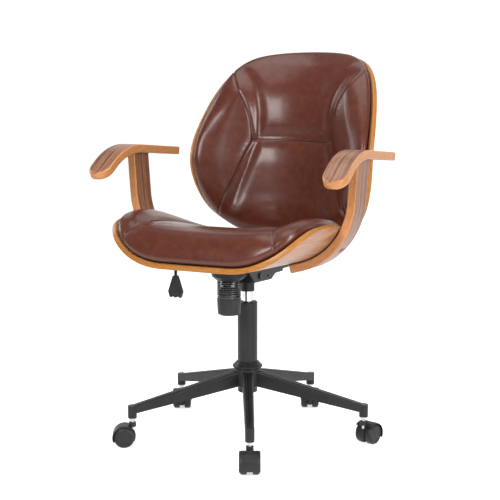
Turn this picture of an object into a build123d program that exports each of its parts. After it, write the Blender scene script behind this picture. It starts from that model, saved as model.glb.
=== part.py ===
from build123d import *
import os
from math import asin, cos, pi, radians, sin, sqrt, tan

# Swivel desk chair with bent plywood shells, bentwood arms, a tilting gas lift and a five-star base.
# The floor is z = 0 and the swivel axis is x = y = 0. The sitter faces -Y, with the right hand at -X.
# All sizes are in millimetres.

# Fits that many pieces share.
running_gap = 0.05
soft_gap = 0.4
plate_gap = 1.2

# Points along an outline at which a board's edge is set square to its face.
trim_points = 48

# Casters: twin wheels under a hood, each turning about the axle, the hood turning about its stem.
wheel_radius = 25.0
wheel_width = 17.0
wheel_edge = 1.5
wheel_face_round = 5.0
web_thickness = 12.0
wheel_side_gap = 0.6
hood_gap = 1.3
hood_thickness = 2.6
hood_overhang = 0.8
hood_crown = 1.4
hood_arc = 158.0
hood_drop = 25.0
web_drop = 13.0
caster_trail = 20.0
axle_radius = 3.0
axle_depth = 11.0
axle_end_gap = 0.5
stem_radius = 5.0
stem_depth = 28.0
stem_foot = 15.0
stem_step = 1.0
collar_radius = 8.5
collar_height = 3.5
socket_radius = 9.0
socket_height = 11.0

# Five-star base: pressed steel legs with a groove along the top, welded round a tapered hub.
leg_count = 5
first_leg_angle = -61.65
caster_turn = [-63.0, 75.0, 117.0, 117.0, 211.0]
base_radius = 295.6
leg_root_width = 28.0
leg_tip_width = 21.0
leg_root_top = 174.0
leg_root_height = 41.0
leg_tip_top = 101.0
leg_tip_height = 20.0
leg_shoulder = 5.0
leg_wall = 2.5
leg_groove_width = 9.0
leg_groove_depth = 4.5
leg_groove_end = 272.0
foot_radius = 11.0
foot_bottom = 70.0
foot_cap = 3.0
hub_radius = 33.0
hub_lip_radius = 37.5
hub_bottom = 126.0
hub_top = 190.0
hub_lip_height = 14.0
hub_cove = 4.0
hub_chamfer = 3.0

# Gas lift: outer tube held in the hub's taper, cylinder sliding in a guide bush, piston rod below.
column_radius = 25.0
column_wall = 2.5
column_top = 340.0
column_foot = 14.0
column_taper = 0.6
column_floor = 4.0
bush_length = 70.0
bush_recess = 1.0
cylinder_radius = 14.0
cylinder_wall = 2.0
cylinder_end = 4.0
rod_radius = 5.0
rod_slack = 1.0
rod_collar = 3.0
rod_end = 4.0
piston_gap = 0.1
race_radius = 14.0
race_thickness = 2.0
ball_radius = 2.0
ball_count = 8
ball_gap = 0.05
collar_thickness = 4.0
bumper_radius = 11.0
bumper_height = 22.0
piston_height = 16.0
piston_level = 300.0
clip_thickness = 1.5
clip_radius = 9.0
clip_groove = 1.0

# Tilt mechanism: housing on the cylinder's taper, seat plate hinged to it on a cross pin.
boss_radius = 17.5
boss_bottom = 366.5
boss_top = 410.0
boss_taper = 0.8
housing_half_width = 44.0
housing_wall = 3.0
housing_floor = 397.0
housing_top = 431.0
housing_front = -62.0
housing_rear = 50.0
nose_radius = 42.0
nose_bottom = 406.0
nose_dish = 11.0
bolt_y = -96.7
bolt_radius = 5.0
bolt_bottom = 330.0
bolt_slack = 3.5
bolt_room = 4.0
bolt_flange_radius = 12.0
bolt_flange_height = 3.0
pivot_y = -26.0
pivot_z = 410.0
pivot_radius = 5.0
pivot_head = 8.0
pivot_head_height = 3.0
seat_plate_half_width = 85.0
seat_plate_front = -130.0
seat_plate_rear = 100.0
seat_plate_thickness = 4.0
seat_plate_corner = 18.0
flange_thickness = 3.5
flange_bottom = 394.0
flange_nose = -88.0
flange_front = -54.0
flange_heel = 35.0
bridge_front = 62.0
bridge_thickness = 4.0
rivet_y = 15.7
rivet_z = 405.5
rivet_radius = 3.5

# Tilt tension: coil spring between the housing's nose and a cup that the knob screws up.
spring_wire = 3.2
spring_radius = 27.4
spring_turns = 7.0
spring_end_turns = 0.75
spring_end_gap = 0.6
spring_space = 39.0
cup_radius = 28.0
cup_thickness = 2.8
cup_guide_radius = 24.0
cup_guide_wall = 2.5
cup_guide_height = 18.0
knob_radius = 29.1
knob_draft = 1.6
knob_bottom = 322.6
knob_chamfer = 5.0
knob_gap = 0.2
knob_flutes = 14
flute_radius = 4.0
flute_depth = 1.1

# Height lever: cranked rod through a ball bush in the housing wall, with a paddle at its end.
lever_y = 30.0
lever_radius = 4.0
lever_reach = 224.0
lever_bend = 20.0
lever_drop = 378.0
tab_half_width = 18.0
tab_thickness = 4.0
tab_front = -6.0
tab_gap = 0.5
pin_radius = 4.0
pin_stand = 6.0
pin_foot = 26.0
ball_bush_radius = 7.3
ball_bush_half = 6.0
lever_room = 3.0
paddle_top = 384.0
paddle_bottom = 326.0
paddle_neck = 13.0
paddle_width = 42.0
paddle_thickness = 9.0
paddle_scallop = 9.0
paddle_scallop_drop = 6.0
paddle_round = 3.0

# Seat shell: plywood, flat in the middle and curled up at the sides, more widely at the front edge.
seat_bottom = 450.4
ply = 13.0
curl_x = 122.4
curl_radius = 160.5
front_curl_x = 82.0
front_curl_radius = 210.0
curl_turn = 76.0
seat_blank_front = -300.0
seat_blank_rear = 240.0
curl_station = -54.0
seat_outline = [
    (0, -275), (100, -272.5), (165, -268.5), (207, -256), (240, -235), (258, -205), (266, -160),
    (269, -80), (262, 0), (240, 72), (195, 142), (120, 195), (0, 218),
]

# Seat cushion: stations from front to rear as (y, half width, middle thickness).
cushion_rise = 16.0
cushion_rim = 15.0
channel_depth = 5.0
channel_x = 150.0
seat_stations = [
    (-262, 160, 22), (-250, 193, 40), (-222, 226, 52), (-175, 241, 57), (-80, 247, 56), (0, 240, 52),
    (72, 219, 48), (138, 180, 43), (180, 131, 36), (200, 92, 24),
]

# Back shell: plywood bent to one radius across, straight below and leaning back above.
back_radius = 320.0
back_ply = 12.0
back_y = 303.0
lean_start = 650.0
lean_angle = 22.0
lean_radius = 250.0
back_blank_half = 275.0
back_blank_bottom = 440.0
back_blank_top = 975.0
back_outline = [
    (0, 468), (90, 471), (152, 484), (196, 512), (226, 545), (246, 588), (259, 645), (261, 695),
    (255, 757), (246, 803), (233, 848), (211, 896), (180, 927), (110, 944), (0, 948),
]

# Back cushion: stations from bottom to top as (z, half width, middle thickness, seam half distance).
back_rim = 17.0
back_channel = 4.0
back_stations = [
    (482, 126, 24, 96), (494, 156, 38, 124), (524, 194, 50, 156), (560, 218, 54, 164), (620, 237, 54, 142),
    (650, 241, 54, 130), (676, 243, 54, 121), (700, 244, 53, 114), (720, 243, 51, 110), (726, 242, 47, 109),
    (732, 242, 50, 109), (745, 240, 51, 110), (810, 230, 46, 124), (866, 213, 40, 150), (908, 186, 34, 150),
    (934, 142, 26, 118), (944, 108, 16, 90),
]

# Back bar: flat steel from the seat plate rearwards and up behind the back shell.
bar_width = 64.0
bar_thickness = 8.0
bar_front = 66.0
bar_top_face = 414.0
bar_top = 650.0
bar_bend = 60.0
bar_gap = 0.4

# Arms: bentwood strips concentric with the seat shell's curl, with scrolled pads on top.
arm_gap = 2.6
arm_thickness = 20.7
arm_front = -53.9
arm_rear = 15.6
arm_foot_slope = 15.0
arm_lean = 85.8
arm_foot_length = 28.0
pad_width = 60.6
pad_thickness = 20.6
pad_centre_x = 301.3
pad_rear = 135.3
pad_blank_front = -262.0
pad_rear_z = 699.5
pad_crest_y = -102.5
pad_crest_z = 717.5
pad_valley_y = -200.0
pad_valley_z = 647.0
pad_blank_z = 646.0
pad_crest_radius = 175.0
pad_valley_radius = 98.0
pad_tip_y = -166.0
pad_tip_slope = 29.0
pad_tip_round = 29.0
pad_rear_round = 4.0
pad_splay = 1.5
pad_bury = 7.0

# Fasteners.
bolt_shank = 3.0
bolt_head = 6.0
bolt_head_height = 4.0
bolt_stub = 5.0
bolt_hole_length = 120.0
arm_bolt_angles = [26.0, 46.8]
arm_bolt_sink = 5.0
spacer_radius = 9.0
seat_bolt_places = [(-70, -108), (70, -108), (-70, 76), (70, 76)]
bar_bolt_places = [(-20, 84), (20, 84)]
back_bolt_places = [(-18, 530), (18, 530), (-18, 612), (18, 612)]


def block(x0, x1, y0, y1, z0, z1):
    """A box between two corners."""
    return Pos((x0 + x1) / 2, (y0 + y1) / 2, (z0 + z1) / 2) * Box(x1 - x0, y1 - y0, z1 - z0)


def post(radius, z0, z1, x=0, y=0):
    """An upright cylinder."""
    return Pos(x, y, (z0 + z1) / 2) * Cylinder(radius, z1 - z0)


def cross_rod(radius, x0, x1, y, z):
    """A cylinder along X."""
    return Pos((x0 + x1) / 2, y, z) * Rot(0, 90, 0) * Cylinder(radius, x1 - x0)


def deep_rod(radius, y0, y1, x, z):
    """A cylinder along Y."""
    return Pos(x, (y0 + y1) / 2, z) * Rot(90, 0, 0) * Cylinder(radius, y1 - y0)


def turned(*corners):
    """A solid turned about Z from (radius, height) corners."""
    return revolve(make_face(Plane.XZ * Polyline(*corners, close=True)), Axis.Z)


def mirrored_loop(half):
    """A closed smooth curve through points of its right half, listed from end to end."""
    left = [(-x, v) for x, v in reversed(half[1:-1])]
    return Spline(*half, *left, periodic=True)


def trimmed(blank, outline, surface, thickness):
    """Trim a bent board to an outline on one of its faces, with the edge square to that face."""
    step = 0.1

    def square_off(spot, distance):
        along = surface(spot.X + step, spot.Y) - surface(spot.X - step, spot.Y)
        across = surface(spot.X, spot.Y + step) - surface(spot.X, spot.Y - step)
        return surface(spot.X, spot.Y) + along.cross(across).normalized() * distance

    spots = [outline @ (i / trim_points) for i in range(trim_points)]
    inside = Spline(*[square_off(spot, 2 * thickness) for spot in spots], periodic=True)
    outside = Spline(*[square_off(spot, -thickness) for spot in spots], periodic=True)
    cut = split(blank, bisect_by=Face.make_surface_from_curves(inside, outside), keep=Keep.ALL)
    core = square_off(outline.bounding_box().center(), thickness / 2)
    return next(piece for piece in cut.solids() if piece.is_inside(core))


# Casters, built with the stem on the Z axis, trailing towards +X.

wheel_inner = web_thickness / 2 + wheel_side_gap
wheel_outer = wheel_inner + wheel_width
hood_inner = wheel_radius + hood_gap
hood_outer = hood_inner + hood_thickness
hood_half = wheel_outer + hood_overhang
socket_reach = caster_trail - socket_radius
socket_bottom = wheel_radius + sqrt(wheel_radius**2 - socket_reach**2) + hood_gap
socket_top = socket_bottom + socket_height
stem_low_radius = stem_radius - stem_step


def on_axle(shape):
    """Turn a shape made about Z onto the caster's axle."""
    return Pos(caster_trail, 0, wheel_radius) * Rot(90, 0, 0) * shape


def caster_hood():
    """Hood over the top of both wheels, web between them and the socket of the stem."""
    crowned = Polyline(
        (hood_inner, -hood_half), (hood_outer - hood_crown, -hood_half),
        (hood_outer, -hood_half + 4 * hood_crown), (hood_outer, hood_half - 4 * hood_crown),
        (hood_outer - hood_crown, hood_half), (hood_inner, hood_half), close=True,
    )
    roof = revolve(make_face(Plane.XZ * crowned), Axis.Z, revolution_arc=hood_arc)
    web = Cylinder(hood_inner + hood_thickness / 2, web_thickness)
    web -= block(-2 * hood_outer, 2 * hood_outer, -2 * hood_outer, -web_drop, -hood_half, hood_half)
    body = on_axle(Rot(0, 0, -hood_drop) * roof + web)
    body += post(socket_radius, socket_bottom, socket_top)
    body -= post(stem_low_radius + running_gap, socket_top - stem_depth + stem_foot / 2, socket_top + 1)
    return body - on_axle(Cylinder(axle_radius + running_gap, web_thickness + 2))


def caster_pins():
    """Steel stem with its collar, and the axle of the wheels."""
    collar_top = foot_bottom - plate_gap / 2
    stem = post(stem_low_radius, socket_top - stem_depth + stem_foot / 2 + 1, socket_top)
    stem += post(stem_radius, socket_top, foot_bottom + stem_depth - 1)
    stem += post(collar_radius, collar_top - collar_height, collar_top)
    axle = on_axle(Cylinder(axle_radius, 2 * (wheel_inner + axle_depth)))
    return Compound(children=[stem, axle])


def caster_wheel(side):
    """One wheel with a closed, dished outer face and a blind bore on the axle."""
    bore = axle_radius + running_gap
    bore_end = wheel_inner + axle_depth + axle_end_gap
    dish = wheel_radius - 1.5 * wheel_face_round
    wheel = turned(
        (bore, wheel_inner), (wheel_radius - wheel_edge, wheel_inner), (wheel_radius, wheel_inner + wheel_edge),
        (wheel_radius, wheel_outer - wheel_face_round),
        (wheel_radius - 0.3 * wheel_face_round, wheel_outer - 0.4 * wheel_face_round),
        (wheel_radius - wheel_face_round, wheel_outer), (dish + 1, wheel_outer), (dish, wheel_outer - 1),
        (0, wheel_outer - 0.2), (0, bore_end), (bore, bore_end),
    )
    return on_axle(wheel if side < 0 else Rot(180, 0, 0) * wheel)


# Base.

def column_radius_at(z):
    """Outer radius of the column tube: straight above the hub, tapered inside it."""
    drop = max(0.0, hub_top - z) / (hub_top - hub_bottom)
    return column_radius - column_taper * drop


column_bottom = hub_bottom - column_foot
rod_hole = rod_radius + rod_slack
bore_top = column_radius_at(hub_top) + running_gap
bore_bottom = column_radius_at(hub_bottom) + running_gap
lip_bottom = hub_top - hub_lip_height


def base_hub():
    """Hub with a lip over the legs' roots and a tapered bore."""
    return turned(
        (bore_bottom, hub_bottom), (hub_radius - hub_chamfer, hub_bottom),
        (hub_radius, hub_bottom + hub_chamfer),
        (hub_radius, lip_bottom - hub_cove), (hub_lip_radius, lip_bottom),
        (hub_lip_radius, lip_bottom + hub_chamfer),
        (bore_top + 2, hub_top), (bore_top, hub_top),
    )


def base_leg():
    """Pressed leg along +X: hollow below, grooved above, with the caster's socket at its end."""
    def cut(x, width, low, high, rounding):
        face = Rectangle(width, high - low)
        if rounding:
            face = fillet(face.vertices().group_by(Axis.Y)[-1], rounding)
        return Plane(origin=(x, 0, (low + high) / 2), x_dir=(0, 1, 0), z_dir=(1, 0, 0)) * face

    def top_at(x):
        return leg_root_top + (leg_tip_top - leg_root_top) * x / base_radius

    def height_at(x):
        return leg_root_height + (leg_tip_height - leg_root_height) * x / base_radius

    def width_at(x):
        return leg_root_width + (leg_tip_width - leg_root_width) * x / base_radius

    def hull(x0, x1, inset, sink, rounding):
        faces = []
        for x in (x0, x1):
            low = top_at(x) - height_at(x) - (1 if inset else 0)
            faces.append(cut(x, width_at(x) - 2 * inset, low, top_at(x) - sink, rounding))
        return loft(faces, ruled=True)

    def groove(x, share):
        half = share * leg_groove_width / 2
        top = top_at(x) + 1
        deep = top_at(x) - share * leg_groove_depth
        corners = Polyline((x, -half, top), (x, half, top), (x, 0, deep), close=True)
        return make_face(corners)

    leg = hull(0, base_radius, 0, 0, leg_shoulder)
    leg -= hull(0, base_radius - 1.4 * foot_radius, leg_wall, leg_groove_depth + leg_wall, 0)
    leg -= loft([groove(0, 1), groove(leg_groove_end, 0.5)], ruled=True)
    leg += post(foot_radius, foot_bottom, leg_tip_top, x=base_radius)
    leg -= post(stem_radius + running_gap, foot_bottom - 1, foot_bottom + stem_depth, x=base_radius)
    core = turned(
        (0, 0), (hub_radius, 0), (hub_radius, lip_bottom - hub_cove),
        (hub_lip_radius, lip_bottom), (0, lip_bottom),
    )
    behind = block(-2 * hub_radius, 0, -2 * hub_radius, 2 * hub_radius, 0, 2 * hub_top)
    return (leg - core - behind).solids().sort_by(SortBy.VOLUME)[-1]


def column_tube():
    """Outer tube of the gas lift with a floor that carries the thrust bearing."""
    low = column_radius_at(column_bottom)
    bore_low = low - column_wall
    bore = column_radius - column_wall
    return turned(
        (rod_hole, column_bottom), (low - 1, column_bottom), (low, column_bottom + 1),
        (column_radius, hub_top), (column_radius, column_top - 1.5), (column_radius - 1.5, column_top),
        (bore, column_top), (bore, hub_top), (bore_low, column_bottom + column_floor),
        (rod_hole, column_bottom + column_floor),
    )


def ring(inner, outer, z0, z1):
    """A flat ring about Z."""
    return turned((inner, z0), (outer, z0), (outer, z1), (inner, z1))


race_low = column_bottom + column_floor
ball_level = race_low + race_thickness + ball_gap + ball_radius
race_high = ball_level + ball_radius + ball_gap
collar_low = race_high + race_thickness
collar_high = collar_low + collar_thickness
cylinder_bottom = collar_high + bumper_height + soft_gap
cylinder_bore = cylinder_radius - cylinder_wall
bush_top = column_top - bush_recess
bush_outer = column_radius - column_wall - running_gap
ball_circle = (rod_hole + race_radius) / 2


def thrust_balls():
    """Balls of the thrust bearing."""
    return Compound(children=[p * Sphere(ball_radius) for p in PolarLocations(ball_circle, ball_count)])


def piston_rod():
    """Rod with a collar on the thrust bearing, a clip groove below and the piston above."""
    groove_top = column_bottom - plate_gap / 2
    groove_bottom = groove_top - clip_thickness
    rod = post(rod_radius, groove_bottom - rod_end, piston_level + piston_height + rod_end)
    rod += post(rod_radius + rod_collar, collar_low, collar_high)
    rod += post(cylinder_bore - piston_gap, piston_level, piston_level + piston_height)
    return rod - ring(rod_radius - clip_groove, rod_hole, groove_bottom, groove_top)


def retaining_clip():
    """Open spring clip in the rod's groove under the column's floor."""
    top = column_bottom - plate_gap / 2
    low = top - clip_thickness
    clip = ring(rod_radius - clip_groove + running_gap, clip_radius, low + running_gap, top - running_gap)
    mouth = rod_radius / 2
    return clip - block(0, 2 * clip_radius, -mouth, mouth, low - clip_thickness, top + clip_thickness)


def gas_cylinder():
    """Cylinder with a guide for the rod below, a taper above and the release pin's bore."""
    ceiling = boss_top - pin_foot + 2
    return turned(
        (rod_radius + running_gap, cylinder_bottom), (cylinder_radius - 1, cylinder_bottom),
        (cylinder_radius, cylinder_bottom + 1), (cylinder_radius, boss_bottom),
        (cylinder_radius - boss_taper, boss_top), (pin_radius + running_gap, boss_top),
        (pin_radius + running_gap, ceiling), (cylinder_bore - 1, ceiling), (cylinder_bore - 1, boss_bottom - 4),
        (cylinder_bore, boss_bottom - 6), (cylinder_bore, cylinder_bottom + cylinder_end),
        (rod_radius + running_gap, cylinder_bottom + cylinder_end),
    )


# Tilt mechanism.

lever_z = boss_top + pin_stand + tab_gap + lever_radius
seat_plate_low = seat_bottom - seat_plate_thickness
flange_inner = housing_half_width + plate_gap
flange_outer = flange_inner + flange_thickness
bridge_low = bar_top_face


def tilt_housing():
    """Open-topped steel channel with a dished nose over the spring and a tapered boss below."""
    def tray(inset, rise, top):
        half = housing_half_width - inset
        tub = block(-half, half, housing_front + inset, housing_rear - inset, housing_floor + rise, top)
        link = nose_radius - inset
        tub += block(-link, link, bolt_y, housing_front + 2 * housing_wall, nose_bottom + nose_dish + rise, top)
        dish = turned(
            (0, nose_bottom + rise), (spring_radius + spring_wire / 2 - inset / 2, nose_bottom + rise),
            (link, nose_bottom + nose_dish + rise), (link, top), (0, top),
        )
        return tub + Pos(0, bolt_y, 0) * dish

    wide = 2 * housing_half_width
    shell = tray(0, 0, housing_top) - tray(housing_wall, housing_wall, housing_top + 1)
    shell += post(boss_radius, boss_bottom, boss_top)
    shell -= turned(
        (0, boss_bottom - 1), (cylinder_radius + running_gap / 2, boss_bottom - 1),
        (cylinder_radius + running_gap / 2, boss_bottom),
        (cylinder_radius - boss_taper + running_gap / 2, boss_top),
        (cylinder_radius - boss_taper + running_gap / 2, boss_top + 1), (0, boss_top + 1),
    )
    shell -= post(bolt_radius + bolt_slack, nose_bottom - 1, nose_bottom + nose_dish, y=bolt_y)
    shell -= cross_rod(pivot_radius + running_gap / 2, -wide, wide, pivot_y, pivot_z)
    return shell - cross_rod(ball_bush_radius + running_gap, -wide, 0, lever_y, lever_z)


def tilt_pivot_pin():
    """Cross pin of the tilt hinge, with a head outside each flange."""
    reach = flange_outer + running_gap
    pin = cross_rod(pivot_radius, -reach, reach, pivot_y, pivot_z)
    for side in (-1, 1):
        near = side * reach
        far = side * (reach + pivot_head_height)
        pin += cross_rod(pivot_head, min(near, far), max(near, far), pivot_y, pivot_z)
    return pin


def seat_plate():
    """Plate under the shell with two cheeks that hinge on the pin, and a bridge for the back bar."""
    plate = block(
        -seat_plate_half_width, seat_plate_half_width, seat_plate_front, seat_plate_rear,
        seat_plate_low, seat_bottom,
    )
    plate = fillet(plate.edges().filter_by(Axis.Z), seat_plate_corner)
    cheek = Polyline(
        (flange_nose - 4, seat_plate_low), (flange_nose, housing_top - 2), (flange_front, flange_bottom + 3),
        (flange_heel, flange_bottom), (bridge_front - 4, bar_top_face - bar_thickness),
        (seat_plate_rear, bar_top_face - bar_thickness), (seat_plate_rear, seat_plate_low), close=True,
    )
    flange = extrude(make_face(Plane.YZ * cheek), flange_thickness)
    for x in (flange_inner, -flange_outer):
        plate += Pos(x, 0, 0) * flange
    bridge_high = bridge_low + bridge_thickness
    plate += block(-flange_inner, flange_inner, bridge_front, seat_plate_rear, bridge_low, bridge_high)
    wide = 2 * flange_outer
    plate -= cross_rod(pivot_radius + running_gap, -wide, wide, pivot_y, pivot_z)
    plate -= cross_rod(rivet_radius, -wide, wide, rivet_y, rivet_z)
    slot = ball_bush_radius + lever_room
    plate -= block(-wide, 0, lever_y - slot - lever_room, lever_y + slot, lever_z - slot, lever_z + 2 * slot)
    for x, y in seat_bolt_places:
        plate -= post(bolt_shank + running_gap, seat_plate_low - 1, seat_bottom + 1, x, y)
    for x, y in bar_bolt_places:
        plate -= post(bolt_shank + running_gap, bridge_low - 1, bridge_high + 1, x, y)
    return plate


def tension_bolt():
    """Long bolt hung from the seat plate's front, through the nose and the spring."""
    bolt = post(bolt_radius, bolt_bottom, seat_plate_low, y=bolt_y)
    return bolt + post(bolt_flange_radius, seat_plate_low - bolt_flange_height, seat_plate_low, y=bolt_y)


cup_top = nose_bottom - spring_space
cup_low = cup_top - cup_thickness
knob_top = cup_low - knob_gap


def spring_point(turn, low, high):
    """A point of the spring's centre line after so many turns: close at both ends, open between."""
    end_rise = spring_end_turns * (spring_wire + spring_end_gap)
    open_turns = spring_turns - 2 * spring_end_turns
    open_pitch = (high - low - 2 * end_rise) / open_turns
    opened = min(max(turn - spring_end_turns, 0), open_turns)
    z = low + (turn - opened) * (spring_wire + spring_end_gap) + opened * open_pitch
    return Vector(spring_radius * cos(2 * pi * turn), bolt_y + spring_radius * sin(2 * pi * turn), z)


def tension_spring():
    """One unbroken coil, drawn as two tangent arcs for each quarter turn, with short straight ends."""
    low = cup_top + soft_gap + spring_wire / 2
    high = nose_bottom - soft_gap - spring_wire / 2
    quarters = round(4 * spring_turns)
    step = spring_turns / quarters
    nodes = [spring_point(i * step, low, high) for i in range(quarters + 1)]
    tangents = []
    for i in range(quarters + 1):
        ahead = spring_point(i * step + 0.01, low, high)
        behind = spring_point(i * step - 0.01, low, high)
        tangents.append((ahead - behind).normalized())
    edges = [Line(nodes[0] - tangents[0] * spring_wire, nodes[0])]
    for start, end, leave, arrive in zip(nodes, nodes[1:], tangents, tangents[1:]):
        span = end - start
        a = 2 * (leave.dot(arrive) - 1)
        b = -2 * span.dot(leave + arrive)
        reach = (-b - sqrt(b * b - 4 * a * span.dot(span))) / (2 * a)
        first = start + leave * reach
        second = end - arrive * reach
        middle = (first + second) * 0.5
        edges.append(TangentArc(start, middle, tangent=leave))
        edges.append(TangentArc(middle, end, tangent=second - first))
    edges.append(Line(nodes[-1], nodes[-1] + tangents[-1] * spring_wire))
    path = Wire(edges)
    section = Plane(origin=path @ 0, z_dir=path % 0) * Circle(spring_wire / 2)
    samples = [spring_point(i / 24, low, high) for i in range(round(24 * spring_turns) + 1)]
    apart = [
        (samples[i] - samples[j]).length
        for i in range(len(samples)) for j in range(i + 18, len(samples))
    ]
    print("spring: least gap to itself", round(min(apart) - spring_wire, 2), "mm")
    return sweep(section, path=path)


def spring_cup():
    """Washer under the spring with a tube that guides it from inside."""
    return Pos(0, bolt_y, 0) * turned(
        (bolt_radius + running_gap, cup_low), (cup_radius, cup_low), (cup_radius, cup_top),
        (cup_guide_radius, cup_top), (cup_guide_radius, cup_top + cup_guide_height),
        (cup_guide_radius - cup_guide_wall, cup_top + cup_guide_height),
        (cup_guide_radius - cup_guide_wall, cup_top), (bolt_radius + running_gap, cup_top),
    )


def tension_knob():
    """Fluted knob screwed on the bolt's lower end."""
    low_radius = knob_radius - knob_draft
    knob = turned(
        (0, knob_bottom), (low_radius - knob_chamfer, knob_bottom),
        (low_radius, knob_bottom + 0.7 * knob_chamfer),
        (knob_radius, knob_top - 1), (knob_radius - 1, knob_top), (bolt_radius + running_gap, knob_top),
        (bolt_radius + running_gap, bolt_bottom - bolt_room), (0, bolt_bottom - bolt_room),
    )
    flute_circle = knob_radius + flute_radius - flute_depth
    for place in PolarLocations(flute_circle, knob_flutes):
        knob -= place * post(flute_radius, knob_bottom - 1, knob_top - 3)
    return Pos(0, bolt_y, 0) * knob


# Height lever.

bush_x = -(housing_half_width - housing_wall / 2)


def lever_bush():
    """Ball-shaped bush that lets the lever rock in the housing wall and slide through it."""
    ball = Sphere(ball_bush_radius)
    ball &= Box(2 * ball_bush_half, 4 * ball_bush_radius, 4 * ball_bush_radius)
    ball -= cross_rod(lever_radius + running_gap, -ball_bush_radius, ball_bush_radius, 0, 0)
    return Pos(bush_x, lever_y, lever_z) * ball


def lever_rod():
    """Rod from the tab over the release pin out to the right, then bent down."""
    path = FilletPolyline(
        (tab_half_width, lever_y, lever_z), (-lever_reach, lever_y, lever_z),
        (-lever_reach, lever_y, lever_drop), radius=lever_bend,
    )
    rod = sweep(Plane(origin=path @ 0, z_dir=path % 0) * Circle(lever_radius), path=path)
    tab_low = lever_z - lever_radius
    return rod + block(-tab_half_width, tab_half_width, tab_front, lever_y, tab_low, tab_low + tab_thickness)


def lever_paddle():
    """Moulded grip, narrow at the neck and wide below, with finger scallops along its lower edge."""
    half = paddle_width / 2
    x = -lever_reach
    shoulder = paddle_bottom + 0.28 * (paddle_top - paddle_bottom)
    blade = Polyline(
        (x - paddle_neck / 2, paddle_top), (x + paddle_neck / 2, paddle_top), (x + half, shoulder),
        (x + 0.75 * half, paddle_bottom), (x - 0.75 * half, paddle_bottom), (x - half, shoulder), close=True,
    )
    face = make_face(Plane.XZ * blade)
    paddle = extrude(face, paddle_thickness / 2, both=True)
    paddle = fillet(paddle.edges().filter_by(Axis.Y), paddle_round)
    paddle = Pos(0, lever_y, 0) * paddle
    for side in (-1, 1):
        notch_z = paddle_bottom - paddle_scallop_drop
        near = lever_y - paddle_thickness
        far = lever_y + paddle_thickness
        paddle -= deep_rod(paddle_scallop, near, far, x + side * half / 3, notch_z)
    return paddle - post(lever_radius, lever_drop, paddle_top + 1, x, lever_y)


# Seat.

def seat_curl(y):
    """Start of the curl and its outer radius at a station along the seat."""
    share = min(max((y - curl_station) / (seat_blank_front - curl_station), 0), 1)
    start = curl_x + share * (front_curl_x - curl_x)
    return start, curl_radius + share * (front_curl_radius - curl_radius)


def seat_level(x, y, above):
    """Height of the level that lies so far above the shell's underside."""
    start, radius = seat_curl(y)
    over = max(abs(x) - start, 0)
    return seat_bottom + radius - sqrt(max((radius - above) ** 2 - over**2, 0))


def seat_section(y):
    """Cross-section of the shell's blank at a station."""
    start, radius = seat_curl(y)
    turn = radians(curl_turn)
    centre = seat_bottom + radius

    def on_arc(side, r, angle):
        return (side * (start + r * sin(angle)), y, centre - r * cos(angle))

    inner = radius - ply
    edges = [
        Line(on_arc(-1, radius, 0), on_arc(1, radius, 0)),
        ThreePointArc(on_arc(1, radius, 0), on_arc(1, radius, turn / 2), on_arc(1, radius, turn)),
        Line(on_arc(1, radius, turn), on_arc(1, inner, turn)),
        ThreePointArc(on_arc(1, inner, turn), on_arc(1, inner, turn / 2), on_arc(1, inner, 0)),
        Line(on_arc(1, inner, 0), on_arc(-1, inner, 0)),
        ThreePointArc(on_arc(-1, inner, 0), on_arc(-1, inner, turn / 2), on_arc(-1, inner, turn)),
        Line(on_arc(-1, inner, turn), on_arc(-1, radius, turn)),
        ThreePointArc(on_arc(-1, radius, turn), on_arc(-1, radius, turn / 2), on_arc(-1, radius, 0)),
    ]
    return make_face(edges)


def arm_bolt_frame(side, angle, y):
    """Frame on the arm's outer face, with Z pointing inwards along the bolt."""
    out = Vector(side * sin(radians(angle)), 0, -cos(radians(angle)))
    centre = Vector(side * curl_x, y, seat_bottom + curl_radius)
    return Plane(origin=centre + out * (curl_radius + arm_gap + arm_thickness), z_dir=-out)


arm_middle = (arm_front + arm_rear) / 2
arm_bolt_frames = [arm_bolt_frame(side, angle, arm_middle) for side in (-1, 1) for angle in arm_bolt_angles]


def seat_shell():
    """Bent plywood seat, trimmed to its egg-shaped plan."""
    stations = (seat_blank_front, curl_station, seat_blank_rear)
    blank = loft([seat_section(y) for y in stations], ruled=True)

    def underside(x, y):
        return Vector(x, y, seat_level(x, y, 0))

    shell = trimmed(blank, mirrored_loop(seat_outline), underside, ply)
    for x, y in seat_bolt_places:
        shell -= post(bolt_shank + running_gap, seat_bottom - 1, seat_bottom + ply + 1, x, y)
    for frame in arm_bolt_frames:
        shell -= frame * Cylinder(bolt_shank + running_gap, bolt_hole_length)
    return shell


def seat_cushion():
    """Leather cushion: flat bands below, a crowned middle and a bolster beyond each sewn channel."""
    def section(y, half, thick):
        def floor_at(x):
            return seat_level(x, y, ply) + soft_gap

        channel = min(channel_x, 0.72 * half)
        rim = min(cushion_rim, 0.6 * thick)
        valley = floor_at(channel) + 0.9 * thick - channel_depth
        crest = floor_at(0) + thick
        edge_x = half - 0.5 * rim
        edge_z = floor_at(half) + rim
        swell_x = (edge_x + channel) / 2
        swell_z = (edge_z + valley) / 2 + min(cushion_rise, 0.35 * thick)
        xs = [-half, -0.8 * half, -0.55 * half, 0.55 * half, 0.8 * half, half]
        bottom = [(x, y, floor_at(x)) for x in xs]
        edges = [Line(p, q) for p, q in zip(bottom, bottom[1:])]
        edges += [
            Line(bottom[-1], (edge_x, y, edge_z)),
            ThreePointArc((edge_x, y, edge_z), (swell_x, y, swell_z), (channel, y, valley)),
            ThreePointArc((channel, y, valley), (0, y, crest), (-channel, y, valley)),
            ThreePointArc((-channel, y, valley), (-swell_x, y, swell_z), (-edge_x, y, edge_z)),
            Line((-edge_x, y, edge_z), bottom[0]),
        ]
        return make_face(edges)

    return loft([section(*station) for station in seat_stations], ruled=True)


# Back.

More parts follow.
